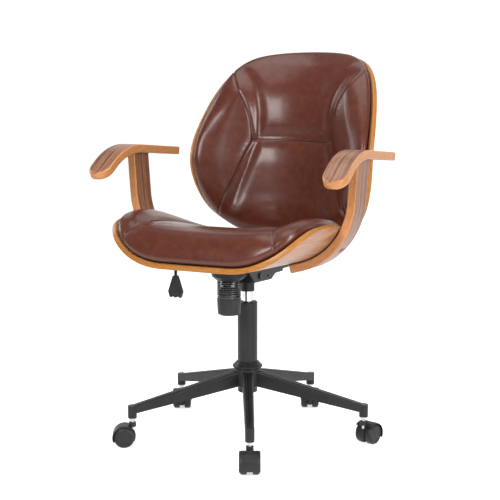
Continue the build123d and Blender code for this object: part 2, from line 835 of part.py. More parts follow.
def back_rear_at(z):
    """Depth of the shell's rear face on the middle line at a height."""
    lean = radians(lean_angle)
    rise = max(z - lean_start, 0)
    if rise < lean_radius * sin(lean):
        return back_y + lean_radius - sqrt(lean_radius**2 - rise**2)
    return back_y + lean_radius * (1 - cos(lean)) + (rise - lean_radius * sin(lean)) * tan(lean)


def back_level(x, z, before):
    """Depth of the level that lies so far before the shell's rear face."""
    return back_rear_at(z) - back_radius + sqrt((back_radius - before) ** 2 - x**2)


def back_section(z):
    """Cross-section of the back's blank at a height."""
    turn = asin(back_blank_half / back_radius)
    centre = back_rear_at(z) - back_radius

    def on_arc(r, angle):
        return (r * sin(angle), centre + r * cos(angle), z)

    inner = back_radius - back_ply
    edges = [
        ThreePointArc(on_arc(back_radius, -turn), on_arc(back_radius, 0), on_arc(back_radius, turn)),
        Line(on_arc(back_radius, turn), on_arc(inner, turn)),
        ThreePointArc(on_arc(inner, turn), on_arc(inner, 0), on_arc(inner, -turn)),
        Line(on_arc(inner, -turn), on_arc(back_radius, -turn)),
    ]
    return make_face(edges)


def back_shell():
    """Bent plywood back, trimmed to its rounded outline."""
    corner = lean_start + lean_radius * tan(radians(lean_angle) / 2)
    spine = FilletPolyline(
        (0, back_y, back_blank_bottom), (0, back_y, corner), (0, back_rear_at(back_blank_top), back_blank_top),
        radius=lean_radius,
    )
    blank = sweep(back_section(back_blank_bottom), path=spine, normal=(0, 0, 1))

    def rear_face(x, z):
        return Vector(x, back_level(x, z, 0), z)

    shell = trimmed(blank, mirrored_loop(back_outline), rear_face, back_ply)
    for x, z in back_bolt_places:
        shell -= deep_rod(bolt_shank + running_gap, back_y - 2 * back_radius, back_y + 20, x, z)
    return shell


def back_cushion():
    """Leather back cushion: a middle panel with a cross seam, between two wings."""
    def section(z, half, thick, seam):
        def wall_at(x):
            return back_level(x, z, back_ply) - soft_gap

        rim = min(back_rim, 0.7 * thick)
        valley = wall_at(seam) - 0.92 * thick + back_channel
        crest = wall_at(0) - thick
        edge_x = half - 0.25 * rim
        edge_y = wall_at(half) - rim
        swell_x = (edge_x + seam) / 2
        swell_y = (edge_y + valley) / 2 - min(cushion_rise, 0.3 * thick) / 2
        xs = [-half, -0.66 * half, -0.33 * half, 0.33 * half, 0.66 * half, half]
        rear = [(x, wall_at(x), z) for x in xs]
        edges = [Line(p, q) for p, q in zip(rear, rear[1:])]
        edges += [
            Line(rear[-1], (edge_x, edge_y, z)),
            ThreePointArc((edge_x, edge_y, z), (swell_x, swell_y, z), (seam, valley, z)),
            ThreePointArc((seam, valley, z), (0, crest, z), (-seam, valley, z)),
            ThreePointArc((-seam, valley, z), (-swell_x, swell_y, z), (-edge_x, edge_y, z)),
            Line((-edge_x, edge_y, z), rear[0]),
        ]
        return make_face(edges)

    return loft([section(*station) for station in back_stations], ruled=True)


bar_face_y = back_y + bar_gap
bar_middle_z = bar_top_face - bar_thickness / 2


def back_bar():
    """Flat steel bar, bolted under the bridge and bent up behind the back shell."""
    rise_y = bar_face_y + bar_thickness / 2
    path = FilletPolyline(
        (0, bar_front, bar_middle_z), (0, rise_y, bar_middle_z), (0, rise_y, bar_top), radius=bar_bend,
    )
    section = Plane(origin=path @ 0, x_dir=(1, 0, 0), z_dir=path % 0) * Rectangle(bar_width, bar_thickness)
    bar = sweep(section, path=path)
    for x, y in bar_bolt_places:
        bar -= post(bolt_shank + running_gap, bar_top_face - 2 * bar_thickness, bar_top_face + 1, x, y)
    for x, z in back_bolt_places:
        bar -= deep_rod(bolt_shank + running_gap, bar_face_y - 1, bar_face_y + 2 * bar_thickness, x, z)
    return bar


# Arms, built on the +X side.

def arm_pad():
    """Scrolled bentwood pad with a rounded tongue in front, cut square to its slope."""
    path = FilletPolyline(
        (0, pad_rear, pad_rear_z), (0, pad_crest_y, pad_crest_z), (0, pad_valley_y, pad_valley_z),
        (0, pad_blank_front, pad_blank_z), radius=[pad_crest_radius, pad_valley_radius],
    )
    section = Plane(origin=path @ 0, x_dir=(1, 0, 0), z_dir=path % 0) * Rectangle(2 * pad_width, pad_thickness)
    scroll = sweep(section, path=path)
    length = pad_rear - pad_blank_front
    plan = Pos(0, (pad_rear + pad_blank_front) / 2) * Rectangle(pad_width, length)
    plan = fillet(plan.vertices().group_by(Axis.Y)[-1], pad_rear_round)
    tip_radius = min(pad_tip_round, 0.49 * pad_width)
    tongue = Pos(0, length / 2 - tip_radius) * Rectangle(pad_width, length)
    tongue = fillet(tongue.vertices().group_by(Axis.Y)[0], tip_radius)
    slope = radians(pad_tip_slope)
    on_slope = Plane(origin=(0, pad_tip_y, pad_valley_z), x_dir=(1, 0, 0), z_dir=(0, -sin(slope), cos(slope)))
    pad = scroll & extrude(plan, 2 * pad_crest_z) & extrude(on_slope * tongue, length, both=True)
    turned_pad = Pos(0, pad_rear, 0) * Rot(0, 0, pad_splay) * Pos(0, -pad_rear, 0) * pad
    return Pos(pad_centre_x, 0, 0) * turned_pad


def arm_upright(pad):
    """Bentwood strip: foot under the seat, bend round its curl, upright to the pad."""
    radius = curl_radius + arm_gap + arm_thickness / 2
    foot = radians(arm_foot_slope)
    lean = radians(arm_lean)
    reach = radius * tan((lean - foot) / 2)
    bend_x = curl_x + radius * sin(foot)
    bend_z = seat_bottom + curl_radius - radius * cos(foot)
    corner_x = bend_x + reach * cos(foot)
    corner_z = bend_z + reach * sin(foot)
    top_z = pad_rear_z + pad_bury
    top_x = corner_x + (top_z - corner_z) / tan(lean)
    path = FilletPolyline(
        (bend_x - arm_foot_length * cos(foot), arm_middle, bend_z - arm_foot_length * sin(foot)),
        (corner_x, arm_middle, corner_z), (top_x, arm_middle, top_z), radius=radius,
    )
    section = Rectangle(arm_rear - arm_front, arm_thickness)
    section = Plane(origin=path @ 0, x_dir=(0, 1, 0), z_dir=path % 0) * section
    strip = sweep(section, path=path) - pad
    strip = strip.solids().sort_by(SortBy.VOLUME)[-1]
    for frame in arm_bolt_frames[len(arm_bolt_angles):]:
        strip -= frame * Cylinder(bolt_shank + running_gap, bolt_hole_length)
        strip -= frame * Pos(0, 0, (arm_bolt_sink + bolt_head_height) / 2 - 1) * Cylinder(
            bolt_head + running_gap, arm_bolt_sink + bolt_head_height + 2)
    return strip


# Fasteners, each kind one group.

def arm_bolts():
    """Bolts sunk in the arms, through the spacers into the seat shell."""
    bolts = []
    length = arm_thickness - arm_bolt_sink - bolt_head_height + arm_gap + ply - 1
    for frame in arm_bolt_frames:
        head = Pos(0, 0, arm_bolt_sink + bolt_head_height / 2) * Cylinder(bolt_head, bolt_head_height)
        shank = Pos(0, 0, arm_bolt_sink + bolt_head_height + length / 2) * Cylinder(bolt_shank, length)
        bolts.append(frame * (head + shank))
    return Compound(children=bolts)


def arm_spacers():
    """Washers that hold the arms clear of the seat shell."""
    spacers = []
    for frame in arm_bolt_frames:
        washer = Cylinder(spacer_radius, 3 * arm_gap) - Cylinder(bolt_shank + running_gap, 4 * arm_gap)
        side = 1 if frame.origin.X > 0 else -1
        around = Pos(side * curl_x, frame.origin.Y, seat_bottom + curl_radius) * Rot(90, 0, 0)
        width = 4 * spacer_radius
        layer = Cylinder(curl_radius + arm_gap - running_gap, width)
        layer -= Cylinder(curl_radius + running_gap, width)
        spacers.append(frame * Pos(0, 0, arm_thickness + arm_gap / 2) * washer & around * layer)
    return Compound(children=spacers)


def seat_bolts():
    """Bolts from under the seat plate into the shell."""
    bolts = []
    for x, y in seat_bolt_places:
        head = post(bolt_head, seat_plate_low - bolt_head_height, seat_plate_low, x, y)
        bolts.append(head + post(bolt_shank, seat_plate_low, seat_bottom + ply - 1, x, y))
    return Compound(children=bolts)


def back_bolts():
    """Bolts that join the back bar to the bridge below and to the back shell above."""
    bolts = []
    for x, y in bar_bolt_places:
        face = bar_top_face - bar_thickness
        head = post(bolt_head, face - bolt_head_height, face, x, y)
        bolts.append(head + post(bolt_shank, face, bridge_low + bridge_thickness + bolt_stub, x, y))
    for x, z in back_bolt_places:
        face = bar_face_y + bar_thickness
        head = deep_rod(bolt_head, face, face + bolt_head_height, x, z)
        bolts.append(head + deep_rod(bolt_shank, back_level(x, z, back_ply) + 1, face, x, z))
    return Compound(children=bolts)


pad_left = arm_pad()
upright_left = arm_upright(pad_left)
leg_along_x = base_leg()

pieces = {
    "base_hub": base_hub(),
    "column_tube": column_tube(),
    "guide_bush": ring(cylinder_radius + running_gap, bush_outer, bush_top - bush_length, bush_top),
    "thrust_race_lower": ring(rod_hole, race_radius, race_low, race_low + race_thickness),
    "thrust_balls": Pos(0, 0, ball_level) * thrust_balls(),
    "thrust_race_upper": ring(rod_radius + running_gap, race_radius, race_high, collar_low),
    "piston_rod": piston_rod(),
    "rubber_bumper": ring(rod_radius + running_gap, bumper_radius, collar_high, collar_high + bumper_height),
    "retaining_clip": retaining_clip(),
    "gas_cylinder": gas_cylinder(),
    "release_pin": post(pin_radius, boss_top - pin_foot, boss_top + pin_stand),
    "tilt_housing": tilt_housing(),
    "tilt_pivot_pin": tilt_pivot_pin(),
    "tension_spring": tension_spring(),
    "spring_cup": spring_cup(),
    "tension_knob": tension_knob(),
    "tension_bolt": tension_bolt(),
    "lever_bush": lever_bush(),
    "lever_rod": lever_rod(),
    "lever_paddle": lever_paddle(),
    "seat_plate": seat_plate(),
    "seat_shell": seat_shell(),
    "seat_cushion": seat_cushion(),
    "back_bar": back_bar(),
    "back_shell": back_shell(),
    "back_cushion": back_cushion(),
    "arm_upright_left": upright_left,
    "arm_upright_right": mirror(upright_left, about=Plane.YZ),
    "arm_pad_left": pad_left,
    "arm_pad_right": mirror(pad_left, about=Plane.YZ),
    "arm_bolts": arm_bolts(),
    "arm_spacers": arm_spacers(),
    "seat_bolts": seat_bolts(),
    "back_bolts": back_bolts(),
}
for index, turn in enumerate(caster_turn[:leg_count], start=1):
    angle = first_leg_angle + (index - 1) * 360 / leg_count
    stem_x = base_radius * cos(radians(angle))
    stem_y = base_radius * sin(radians(angle))
    place = Pos(stem_x, stem_y, 0) * Rot(0, 0, turn)
    pieces[f"base_leg_{index}"] = Rot(0, 0, angle) * leg_along_x
    pieces[f"caster_{index}_hood"] = place * caster_hood()
    pieces[f"caster_{index}_pins"] = place * caster_pins()
    pieces[f"caster_{index}_wheel_a"] = place * caster_wheel(-1)
    pieces[f"caster_{index}_wheel_b"] = place * caster_wheel(1)

os.makedirs("parts", exist_ok=True)
for node, shape in pieces.items():
    export_step(shape, f"parts/{node}.step")
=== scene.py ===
from math import acos, cos, pi, radians, sin, tan

import bmesh
import bpy
import numpy as np
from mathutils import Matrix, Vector
from mathutils.bvhtree import BVHTree


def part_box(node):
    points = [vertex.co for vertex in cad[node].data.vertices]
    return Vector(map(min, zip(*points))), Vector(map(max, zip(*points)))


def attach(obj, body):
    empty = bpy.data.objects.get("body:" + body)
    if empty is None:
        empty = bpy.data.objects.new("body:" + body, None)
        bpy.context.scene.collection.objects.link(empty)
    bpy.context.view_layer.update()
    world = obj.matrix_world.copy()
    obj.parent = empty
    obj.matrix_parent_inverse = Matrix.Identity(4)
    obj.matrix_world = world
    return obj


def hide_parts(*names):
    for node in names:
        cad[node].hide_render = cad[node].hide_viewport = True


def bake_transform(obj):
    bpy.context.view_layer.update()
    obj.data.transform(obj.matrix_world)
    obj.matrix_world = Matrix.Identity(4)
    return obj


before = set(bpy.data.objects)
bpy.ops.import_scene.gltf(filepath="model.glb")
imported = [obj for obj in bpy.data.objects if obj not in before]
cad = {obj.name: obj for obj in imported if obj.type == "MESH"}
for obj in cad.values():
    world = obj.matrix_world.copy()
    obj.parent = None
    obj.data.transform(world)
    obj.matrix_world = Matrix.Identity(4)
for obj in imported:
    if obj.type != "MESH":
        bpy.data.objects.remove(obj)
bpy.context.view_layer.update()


# Five-star base. Five pressed steel legs are welded round a turned hub, and the whole is powder
# coated: a satin black skin with a fine pebble, a little paler where it is thin.

def finish(name, **plain):
    """A material and its shader, with plain values set on the shader's own sockets."""
    made = bpy.data.materials.new(name)
    made.use_nodes = True
    shader = made.node_tree.nodes["Principled BSDF"]
    for socket, value in plain.items():
        shader.inputs[socket.replace("_", " ")].default_value = value
    return made, shader


def node(made, kind, settings=None, inputs=None):
    """A shader node with its settings, and with values or links for its inputs."""
    new = made.node_tree.nodes.new("ShaderNode" + kind)
    for key, value in (settings or {}).items():
        setattr(new, key, value)
    for key, value in (inputs or {}).items():
        if isinstance(value, bpy.types.NodeSocket):
            made.node_tree.links.new(value, new.inputs[key])
        else:
            new.inputs[key].default_value = value
    return new


def wire(made, source, shader, socket):
    """Join an output to one of the shader's sockets."""
    made.node_tree.links.new(source, shader.inputs[socket])


def ramp(made, value, *stops):
    """A colour ramp of (position, colour) stops."""
    new = node(made, "ValToRGB", inputs={0: value})
    for _ in stops[2:]:
        new.color_ramp.elements.new(0.5)
    for element, (place, colour) in zip(new.color_ramp.elements, stops):
        element.position = place
        element.color = (*colour, 1)
    return new.outputs[0]


def spread(made, value, low, high):
    """A factor from 0 to 1 spread over a range of values."""
    return node(made, "MapRange", inputs={0: value, 3: low, 4: high}).outputs[0]


def noise(made, place, scale, detail=3.0, rough=0.55):
    """A noise factor on a place."""
    values = {"Vector": place, "Scale": scale, "Detail": detail, "Roughness": rough}
    return node(made, "TexNoise", inputs=values).outputs[0]


def bumped(made, shader, height, strength, distance):
    """Bump the shader's normal by a height."""
    bump = node(made, "Bump", inputs={"Height": height, "Strength": strength, "Distance": distance})
    wire(made, bump.outputs[0], shader, "Normal")


def object_place(made):
    """Object coordinates, in metres."""
    return node(made, "TexCoord").outputs["Object"]


def dress(names, made):
    """Give CAD nodes a material."""
    for name in names:
        cad[name].data.materials.clear()
        cad[name].data.materials.append(made)


thin_skin = 1.9


def pebbled_black(name, colour, pebble, pebble_height, low_gloss, high_gloss):
    """Black skin with a pebbled surface and slow changes of tone and gloss."""
    made, shader = finish(name, Specular_IOR_Level=0.24)
    place = object_place(made)
    cloud = noise(made, place, 14.0)
    paler = tuple(thin_skin * c for c in colour)
    wire(made, ramp(made, cloud, (0.3, colour), (0.75, paler)), shader, "Base Color")
    wire(made, spread(made, noise(made, place, 60.0), low_gloss, high_gloss), shader, "Roughness")
    bumped(made, shader, noise(made, place, pebble, 1.0), 0.35, pebble_height)
    return made


powder_black = pebbled_black("powder_black", (0.010, 0.010, 0.0105), 950.0, 0.00025, 0.30, 0.46)
leg_names = [n for n in cad if n.startswith("base_leg_")]
dress(["base_hub", *leg_names], powder_black)


# Casters. Hood and wheels are moulded in black nylon with a fine spark texture; stem, washer and axle
# are zinc-plated steel pressed into the hood.

nylon_black = pebbled_black("nylon_black", (0.014, 0.014, 0.0155), 1600.0, 0.00012, 0.36, 0.52)
dress([n for n in cad if n.startswith("caster_") and not n.endswith("pins")], nylon_black)

zinc, zinc_shader = finish("zinc_plate", Metallic=1.0)
zinc_place = object_place(zinc)
zinc_cloud = noise(zinc, zinc_place, 180.0, 4.0)
zinc_colour = ramp(zinc, zinc_cloud, (0.35, (0.42, 0.42, 0.43)), (0.7, (0.66, 0.66, 0.68)))
wire(zinc, zinc_colour, zinc_shader, "Base Color")
wire(zinc, spread(zinc, zinc_cloud, 0.26, 0.44), zinc_shader, "Roughness")
bumped(zinc, zinc_shader, noise(zinc, zinc_place, 1500.0), 0.2, 0.00008)
dress([n for n in cad if n.endswith("_pins")], zinc)


# Gas lift. The outer tube is painted satin black and the cylinder is hard chromed; the parts inside
# are zinc-plated steel, a nylon guide bush and a rubber bumper.

column_black = pebbled_black("column_black", (0.010, 0.010, 0.0105), 2200.0, 0.00004, 0.24, 0.36)
dress(["column_tube"], column_black)

chrome, chrome_shader = finish("hard_chrome", Metallic=1.0, Base_Color=(0.55, 0.556, 0.56, 1))
chrome_place = object_place(chrome)
chrome_rings = node(chrome, "Mapping", inputs={"Vector": chrome_place, "Scale": (1, 1, 240)}).outputs[0]
wire(chrome, spread(chrome, noise(chrome, chrome_rings, 9.0), 0.05, 0.13), chrome_shader, "Roughness")
dress(["gas_cylinder"], chrome)

inner_steel = ["thrust_race_lower", "thrust_balls", "thrust_race_upper", "piston_rod", "retaining_clip",
               "release_pin"]
dress(inner_steel, zinc)
dress(["guide_bush"], nylon_black)
rubber_black = pebbled_black("rubber_black", (0.020, 0.020, 0.020), 700.0, 0.00015, 0.62, 0.78)
dress(["rubber_bumper"], rubber_black)


# Tilt mechanism. Housing, seat plate and back bar are pressed from sheet and flat steel and powder
# coated with their cross pin.

dress(["tilt_housing", "seat_plate", "back_bar", "tilt_pivot_pin"], powder_black)


# Tension spring. One length of round spring wire, coiled with closed ends between the cup and the
# housing's nose, blackened in oil with its bolt and cup.

spring_black, spring_shader = finish("oiled_spring_steel", Metallic=1.0)
spring_place = object_place(spring_black)
spring_tone = noise(spring_black, spring_place, 220.0)
spring_colour = ramp(spring_black, spring_tone, (0.3, (0.035, 0.035, 0.038)), (0.75, (0.12, 0.12, 0.125)))
wire(spring_black, spring_colour, spring_shader, "Base Color")
wire(spring_black, spread(spring_black, spring_tone, 0.28, 0.45), spring_shader, "Roughness")
dress(["tension_bolt", "spring_cup"], spring_black)

spring_low, spring_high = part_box("tension_spring")
wire_radius = 0.0020
wire_sides = 12
coil_turns = 7.0
closed_turns = 0.75
closed_pitch = 0.0042
coil_steps = 48
coil_middle = (spring_low + spring_high) / 2
coil_radius = (spring_high.y - spring_low.y) / 2 - wire_radius
open_turns = coil_turns - 2 * closed_turns
coil_rise = spring_high.z - spring_low.z - 2 * wire_radius
open_pitch = (coil_rise - 2 * closed_turns * closed_pitch) / open_turns


def geometry_tree(name, sizes):
    """A geometry tree with its way in and out, and a named input for each size."""
    tree = bpy.data.node_groups.new(name, "GeometryNodeTree")
    tree.interface.new_socket("Geometry", in_out="INPUT", socket_type="NodeSocketGeometry")
    tree.interface.new_socket("Geometry", in_out="OUTPUT", socket_type="NodeSocketGeometry")
    for size in sizes:
        tree.interface.new_socket(size, in_out="INPUT", socket_type="NodeSocketFloat")
    return tree, tree.nodes.new("NodeGroupInput"), tree.nodes.new("NodeGroupOutput")


def end_tree(tree, shape, made, end):
    """Realize what a tree has made, shade it smooth and give it its material."""
    real = tree.nodes.new("GeometryNodeRealizeInstances")
    smooth = tree.nodes.new("GeometryNodeSetShadeSmooth")
    paint = tree.nodes.new("GeometryNodeSetMaterial")
    paint.inputs["Material"].default_value = made
    tree.links.new(shape, real.inputs["Geometry"])
    tree.links.new(real.outputs["Geometry"], smooth.inputs["Geometry"])
    tree.links.new(smooth.outputs["Geometry"], paint.inputs["Geometry"])
    tree.links.new(paint.outputs["Geometry"], end.inputs["Geometry"])


def grown(name, runs, tree, sizes):
    """What a tree makes along runs of points, as a plain mesh."""
    line = bpy.data.curves.new(name + "_line", "CURVE")
    line.dimensions = "3D"
    for points in runs:
        run = line.splines.new("POLY")
        run.points.add(len(points) - 1)
        for point, place in zip(run.points, points):
            point.co = (*place, 1)
    piece = bpy.data.objects.new(name + "_line", line)
    bpy.context.scene.collection.objects.link(piece)
    grow = piece.modifiers.new("grow", "NODES")
    grow.node_group = tree
    for item in tree.interface.items_tree:
        if item.name in sizes:
            grow[item.identifier] = sizes[item.name]
    return plain_mesh(piece, name)


def wire_tree(made):
    """A tree that sweeps a round wire along its line."""
    tree, start, end = geometry_tree("spring_wire", ["Radius"])
    ring = tree.nodes.new("GeometryNodeCurvePrimitiveCircle")
    ring.inputs["Resolution"].default_value = wire_sides
    sweep = tree.nodes.new("GeometryNodeCurveToMesh")
    sweep.inputs["Fill Caps"].default_value = True
    tree.links.new(start.outputs["Radius"], ring.inputs["Radius"])
    tree.links.new(start.outputs["Geometry"], sweep.inputs["Curve"])
    tree.links.new(ring.outputs["Curve"], sweep.inputs["Profile Curve"])
    end_tree(tree, sweep.outputs["Mesh"], made, end)
    return tree


def plain_mesh(piece, name):
    """The evaluated result of a piece as a plain mesh object; the piece itself is removed."""
    graph = bpy.context.evaluated_depsgraph_get()
    mesh = bpy.data.meshes.new_from_object(piece.evaluated_get(graph), depsgraph=graph)
    mesh.name = name
    bpy.data.objects.remove(piece)
    made = bpy.data.objects.new(name, mesh)
    bpy.context.scene.collection.objects.link(made)
    return made


def coil_point(turn):
    """A point of the spring's centre line after so many turns."""
    opened = min(max(turn - closed_turns, 0), open_turns)
    z = spring_low.z + wire_radius + (turn - opened) * closed_pitch + opened * open_pitch
    angle = 2 * pi * turn
    return (coil_middle.x + coil_radius * cos(angle), coil_middle.y + coil_radius * sin(angle), z)


coil_points = [coil_point(i / coil_steps) for i in range(round(coil_turns * coil_steps) + 1)]
spring = grown("spring_coil", [coil_points], wire_tree(spring_black), {"Radius": wire_radius})
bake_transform(spring)
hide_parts("tension_spring")


# Tension knob. A cup of black nylon, moulded with grip flutes round its side; it is screwed on the
# tension bolt from below and carries the spring's cup.

dress(["tension_knob"], nylon_black)


# Height lever. A bent steel rod, powder coated, with a moulded paddle pushed on its end; it rocks in
# a nylon ball bush in the housing's wall.

dress(["lever_rod"], powder_black)
dress(["lever_paddle", "lever_bush"], nylon_black)


# Seat shell. Beech plies are glued in a mould: flat in the middle, curled up at both sides, and cut
# square to the sheet. The faces carry walnut veneer; the bare edge is rounded and lacquered golden.

seat_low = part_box("seat_shell")[0].z
ply = 0.013
curl_x = 0.1224
curl_radius = 0.1605
front_curl_x = 0.082
front_curl_radius = 0.210
curl_station = -0.054
front_station = -0.300
seat_middle = np.array((0.0, -0.03))
seat_outline = [(0.0, -0.275), (0.100, -0.2725), (0.165, -0.2685), (0.207, -0.256), (0.240, -0.235),
                (0.258, -0.205), (0.266, -0.160), (0.269, -0.080), (0.262, 0.0), (0.240, 0.072),
                (0.195, 0.142), (0.120, 0.195), (0.0, 0.218)]
rim_steps = 192
steps_between = 40
edge_round = 0.0024
edge_round_from = radians(50)
first_ring = 0.2
veneer_stretch = 1.15
edge_grain_length = 1.6


def wood_grain(name, length_scale, dark, middle, light):
    """Walnut veneer: long dark lines and pores along the UV map's V, under a lacquer coat."""
    made, shader = finish(name, Coat_Weight=0.18, Coat_Roughness=0.18, Specular_IOR_Level=0.35)
    place = node(made, "UVMap").outputs[0]
    slow = node(made, "Mapping", inputs={"Vector": place, "Scale": (5, 1.2, 1)}).outputs[0]
    drift = noise(made, slow, 2.0)
    long_lines = node(made, "Mapping", inputs={"Vector": place, "Scale": (130, length_scale, 1)}).outputs[0]
    bend = {0: drift, 1: (6, 6, 0), 2: long_lines}
    shifted = node(made, "VectorMath", {"operation": "MULTIPLY_ADD"}, bend).outputs[0]
    figure = noise(made, shifted, 1.0, 5.0, 0.6)
    pores_place = node(made, "Mapping", inputs={"Vector": place, "Scale": (1500, 45, 1)}).outputs[0]
    pores = noise(made, pores_place, 1.0, 2.0)
    colour = ramp(made, figure, (0.36, dark), (0.48, middle), (0.66, light))
    flecks = ramp(made, pores, (0.34, (0.55, 0.5, 0.46)), (0.47, (1, 1, 1)))
    wire(made, tinted(made, 0.8, colour, flecks), shader, "Base Color")
    wire(made, spread(made, figure, 0.34, 0.5), shader, "Roughness")
    bumped(made, shader, pores, 0.12, 0.0002)
    return made


def tinted(made, share, colour, tint):
    """A colour multiplied by a tint."""
    values = {0: share, 6: colour, 7: tint}
    return node(made, "Mix", {"data_type": "RGBA", "blend_type": "MULTIPLY"}, values).outputs[2]


def ply_edge(name, plies, dark, light):
    """Lacquered edge of the plies: thin glue lines across the UV map's V, fibres along its U."""
    made, shader = finish(name, Coat_Weight=0.12, Coat_Roughness=0.2, Specular_IOR_Level=0.3)
    place = node(made, "UVMap").outputs[0]
    stretched = node(made, "Mapping", inputs={"Vector": place, "Scale": (60, 9, 1)}).outputs[0]
    fibres = noise(made, stretched, 1.0, 5.0)
    across = node(made, "SeparateXYZ", inputs={0: place}).outputs[1]
    wave = node(made, "Math", {"operation": "MULTIPLY"}, {0: across, 1: plies * pi}).outputs[0]
    layers = node(made, "Math", {"operation": "SINE"}, {0: wave}).outputs[0]
    lines = node(made, "Math", {"operation": "ABSOLUTE"}, {0: layers}).outputs[0]
    colour = ramp(made, fibres, (0.3, dark), (0.7, light))
    glue = ramp(made, lines, (0.0, (0.62, 0.52, 0.42)), (0.3, (1, 1, 1)))
    wire(made, tinted(made, 0.6, colour, glue), shader, "Base Color")
    wire(made, spread(made, fibres, 0.3, 0.45), shader, "Roughness")
    bumped(made, shader, fibres, 0.1, 0.0003)
    return made


shell_veneer = wood_grain("shell_veneer", 2.0,
                          (0.20, 0.083, 0.038), (0.32, 0.145, 0.070), (0.42, 0.200, 0.100))
golden_edge = ply_edge("golden_edge", 7, (0.26, 0.092, 0.011), (0.44, 0.177, 0.025))


def closed_curve(half, count):
    """Evenly spaced points of a smooth closed outline, from the points of its right half."""
    points = np.array([*half, *[(-x, y) for x, y in half[-2:0:-1]]])
    size = len(points)
    run = np.linalg.norm(np.roll(points, -1, 0) - points, axis=1)
    before = np.roll(run, 1)
    way = (np.roll(points, -1, 0) - points) / run[:, None] ** 2
    ties = np.zeros((size, size))
    for i in range(size):
        ties[i, i] = 2 / before[i] + 2 / run[i]
        ties[i, i - 1] = 1 / before[i]
        ties[i, (i + 1) % size] = 1 / run[i]
    slope = np.linalg.solve(ties, 3 * (way + np.roll(way, 1, 0)))
    fine = []
    for i in range(size):
        j = (i + 1) % size
        for t in np.linspace(0, 1, steps_between, endpoint=False):
            ahead = 3 * t**2 - 2 * t**3
            leave = (t - 2 * t**2 + t**3) * run[i]
            arrive = (t**3 - t**2) * run[i]
            fine.append(points[i] * (1 - ahead) + points[j] * ahead + slope[i] * leave + slope[j] * arrive)
    fine.append(fine[0])
    fine = np.array(fine)
    gone = np.append(0, np.cumsum(np.linalg.norm(np.diff(fine, axis=0), axis=1)))
    marks = np.linspace(0, gone[-1], count, endpoint=False)
    return np.stack([np.interp(marks, gone, fine[:, 0]), np.interp(marks, gone, fine[:, 1])], 1)


def seat_face(x, y, above):
    """Height of the level that lies so far above the seat shell's underside."""
    share = np.clip((y - curl_station) / (front_station - curl_station), 0, 1)
    start = curl_x + share * (front_curl_x - curl_x)
    radius = curl_radius + share * (front_curl_radius - curl_radius)
    over = np.maximum(np.abs(x) - start, 0)
    return seat_low + radius - np.sqrt(np.maximum((radius - above) ** 2 - over**2, 1e-8))


def seat_surface(plan, level):
    """Points on a level of the seat shell, and the directions square to it, towards the sitter."""
    x, y = plan[:, 0], plan[:, 1]
    step = 0.0005
    slope_x = (seat_face(x + step, y, level) - seat_face(x - step, y, level)) / (2 * step)
    slope_y = (seat_face(x, y + step, level) - seat_face(x, y - step, level)) / (2 * step)
    out = np.stack([-slope_x, -slope_y, np.ones_like(x)], 1)
    return np.stack([x, y, seat_face(x, y, level)], 1), out / np.linalg.norm(out, axis=1, keepdims=True)


def square_rims(outline, surface, thickness, flat):
    """Outlines of a board's two faces, in plan, where its edge is cut square to the sheet."""
    foot, out = surface(outline, 0.0)
    return outline, (foot + out * thickness)[:, flat]


def bent_shell(name, middle, rims, surface, thickness, rings=26):
    """A bent board: two faces and a rounded edge, with UV maps for veneer and plies."""
    body = bmesh.new()
    layer = body.loops.layers.uv.new("grain")
    place_on_sheet = {}
    place_on_edge = {}
    sheets = []
    for level, rim in zip((0.0, thickness), rims):
        rows = []
        for ring in range(rings + 1):
            plan = middle + (rim - middle) * max(ring, first_ring) / rings
            row = []
            for spot, mark in zip(surface(plan, level)[0], plan):
                vert = body.verts.new(spot)
                place_on_sheet[vert] = (mark[0] * veneer_stretch, mark[1])
                row.append(vert)
            rows.append(row)
        body.faces.new(rows[0])
        for inner, outer in zip(rows, rows[1:]):
            for i in range(rim_steps):
                body.faces.new((inner[i - 1], outer[i - 1], outer[i], inner[i]))
        for i, vert in enumerate(rows[-1]):
            place_on_edge[vert] = (i, float(level > 0))
        sheets.append(rows[-1])
    lower, upper = sheets
    for i in range(rim_steps):
        wall = body.faces.new((lower[i - 1], lower[i], upper[i], upper[i - 1]))
        wall.material_index = 1
    bmesh.ops.recalc_face_normals(body, faces=body.faces)
    for face in body.faces:
        face.smooth = True
        wraps = face.material_index and {place_on_edge[v][0] for v in face.verts} == {0, rim_steps - 1}
        for loop in face.loops:
            if face.material_index:
                step, side = place_on_edge[loop.vert]
                step = rim_steps if wraps and step == 0 else step
                loop[layer].uv = (edge_grain_length * step / rim_steps, side)
            else:
                loop[layer].uv = place_on_sheet[loop.vert]
    shell = board(name, body, (shell_veneer, golden_edge))
    bevel = shell.modifiers.new("round", "BEVEL")
    bevel.width = edge_round
    bevel.segments = 3
    bevel.limit_method = "ANGLE"
    bevel.angle_limit = edge_round_from
    settle(shell)
    return shell


def board(name, body, materials):
    """A rigid piece from a finished shape, with its materials."""
    mesh = bpy.data.meshes.new(name)
    body.to_mesh(mesh)
    body.free()
    piece = bpy.data.objects.new(name, mesh)
    bpy.context.scene.collection.objects.link(piece)
    for made in materials:
        mesh.materials.append(made)
    return piece


def settle(piece):
    """Make the result of a piece's modifiers its own mesh."""
    graph = bpy.context.evaluated_depsgraph_get()
    mesh = bpy.data.meshes.new_from_object(piece.evaluated_get(graph), depsgraph=graph)
    piece.modifiers.clear()
    piece.data = mesh
    mesh.name = piece.name


seat_rims = square_rims(closed_curve(seat_outline, rim_steps), seat_surface, ply, [0, 1])
seat_board = bent_shell("seat_board", seat_middle, seat_rims, seat_surface, ply)
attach(seat_board, "seat")
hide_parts("seat_shell")


# Seat cushion. Moulded foam under glossy brown leather: a middle panel and two side bolsters, sewn
# together along two channels and topstitched, with a boxed edge that stands just inside the shell.

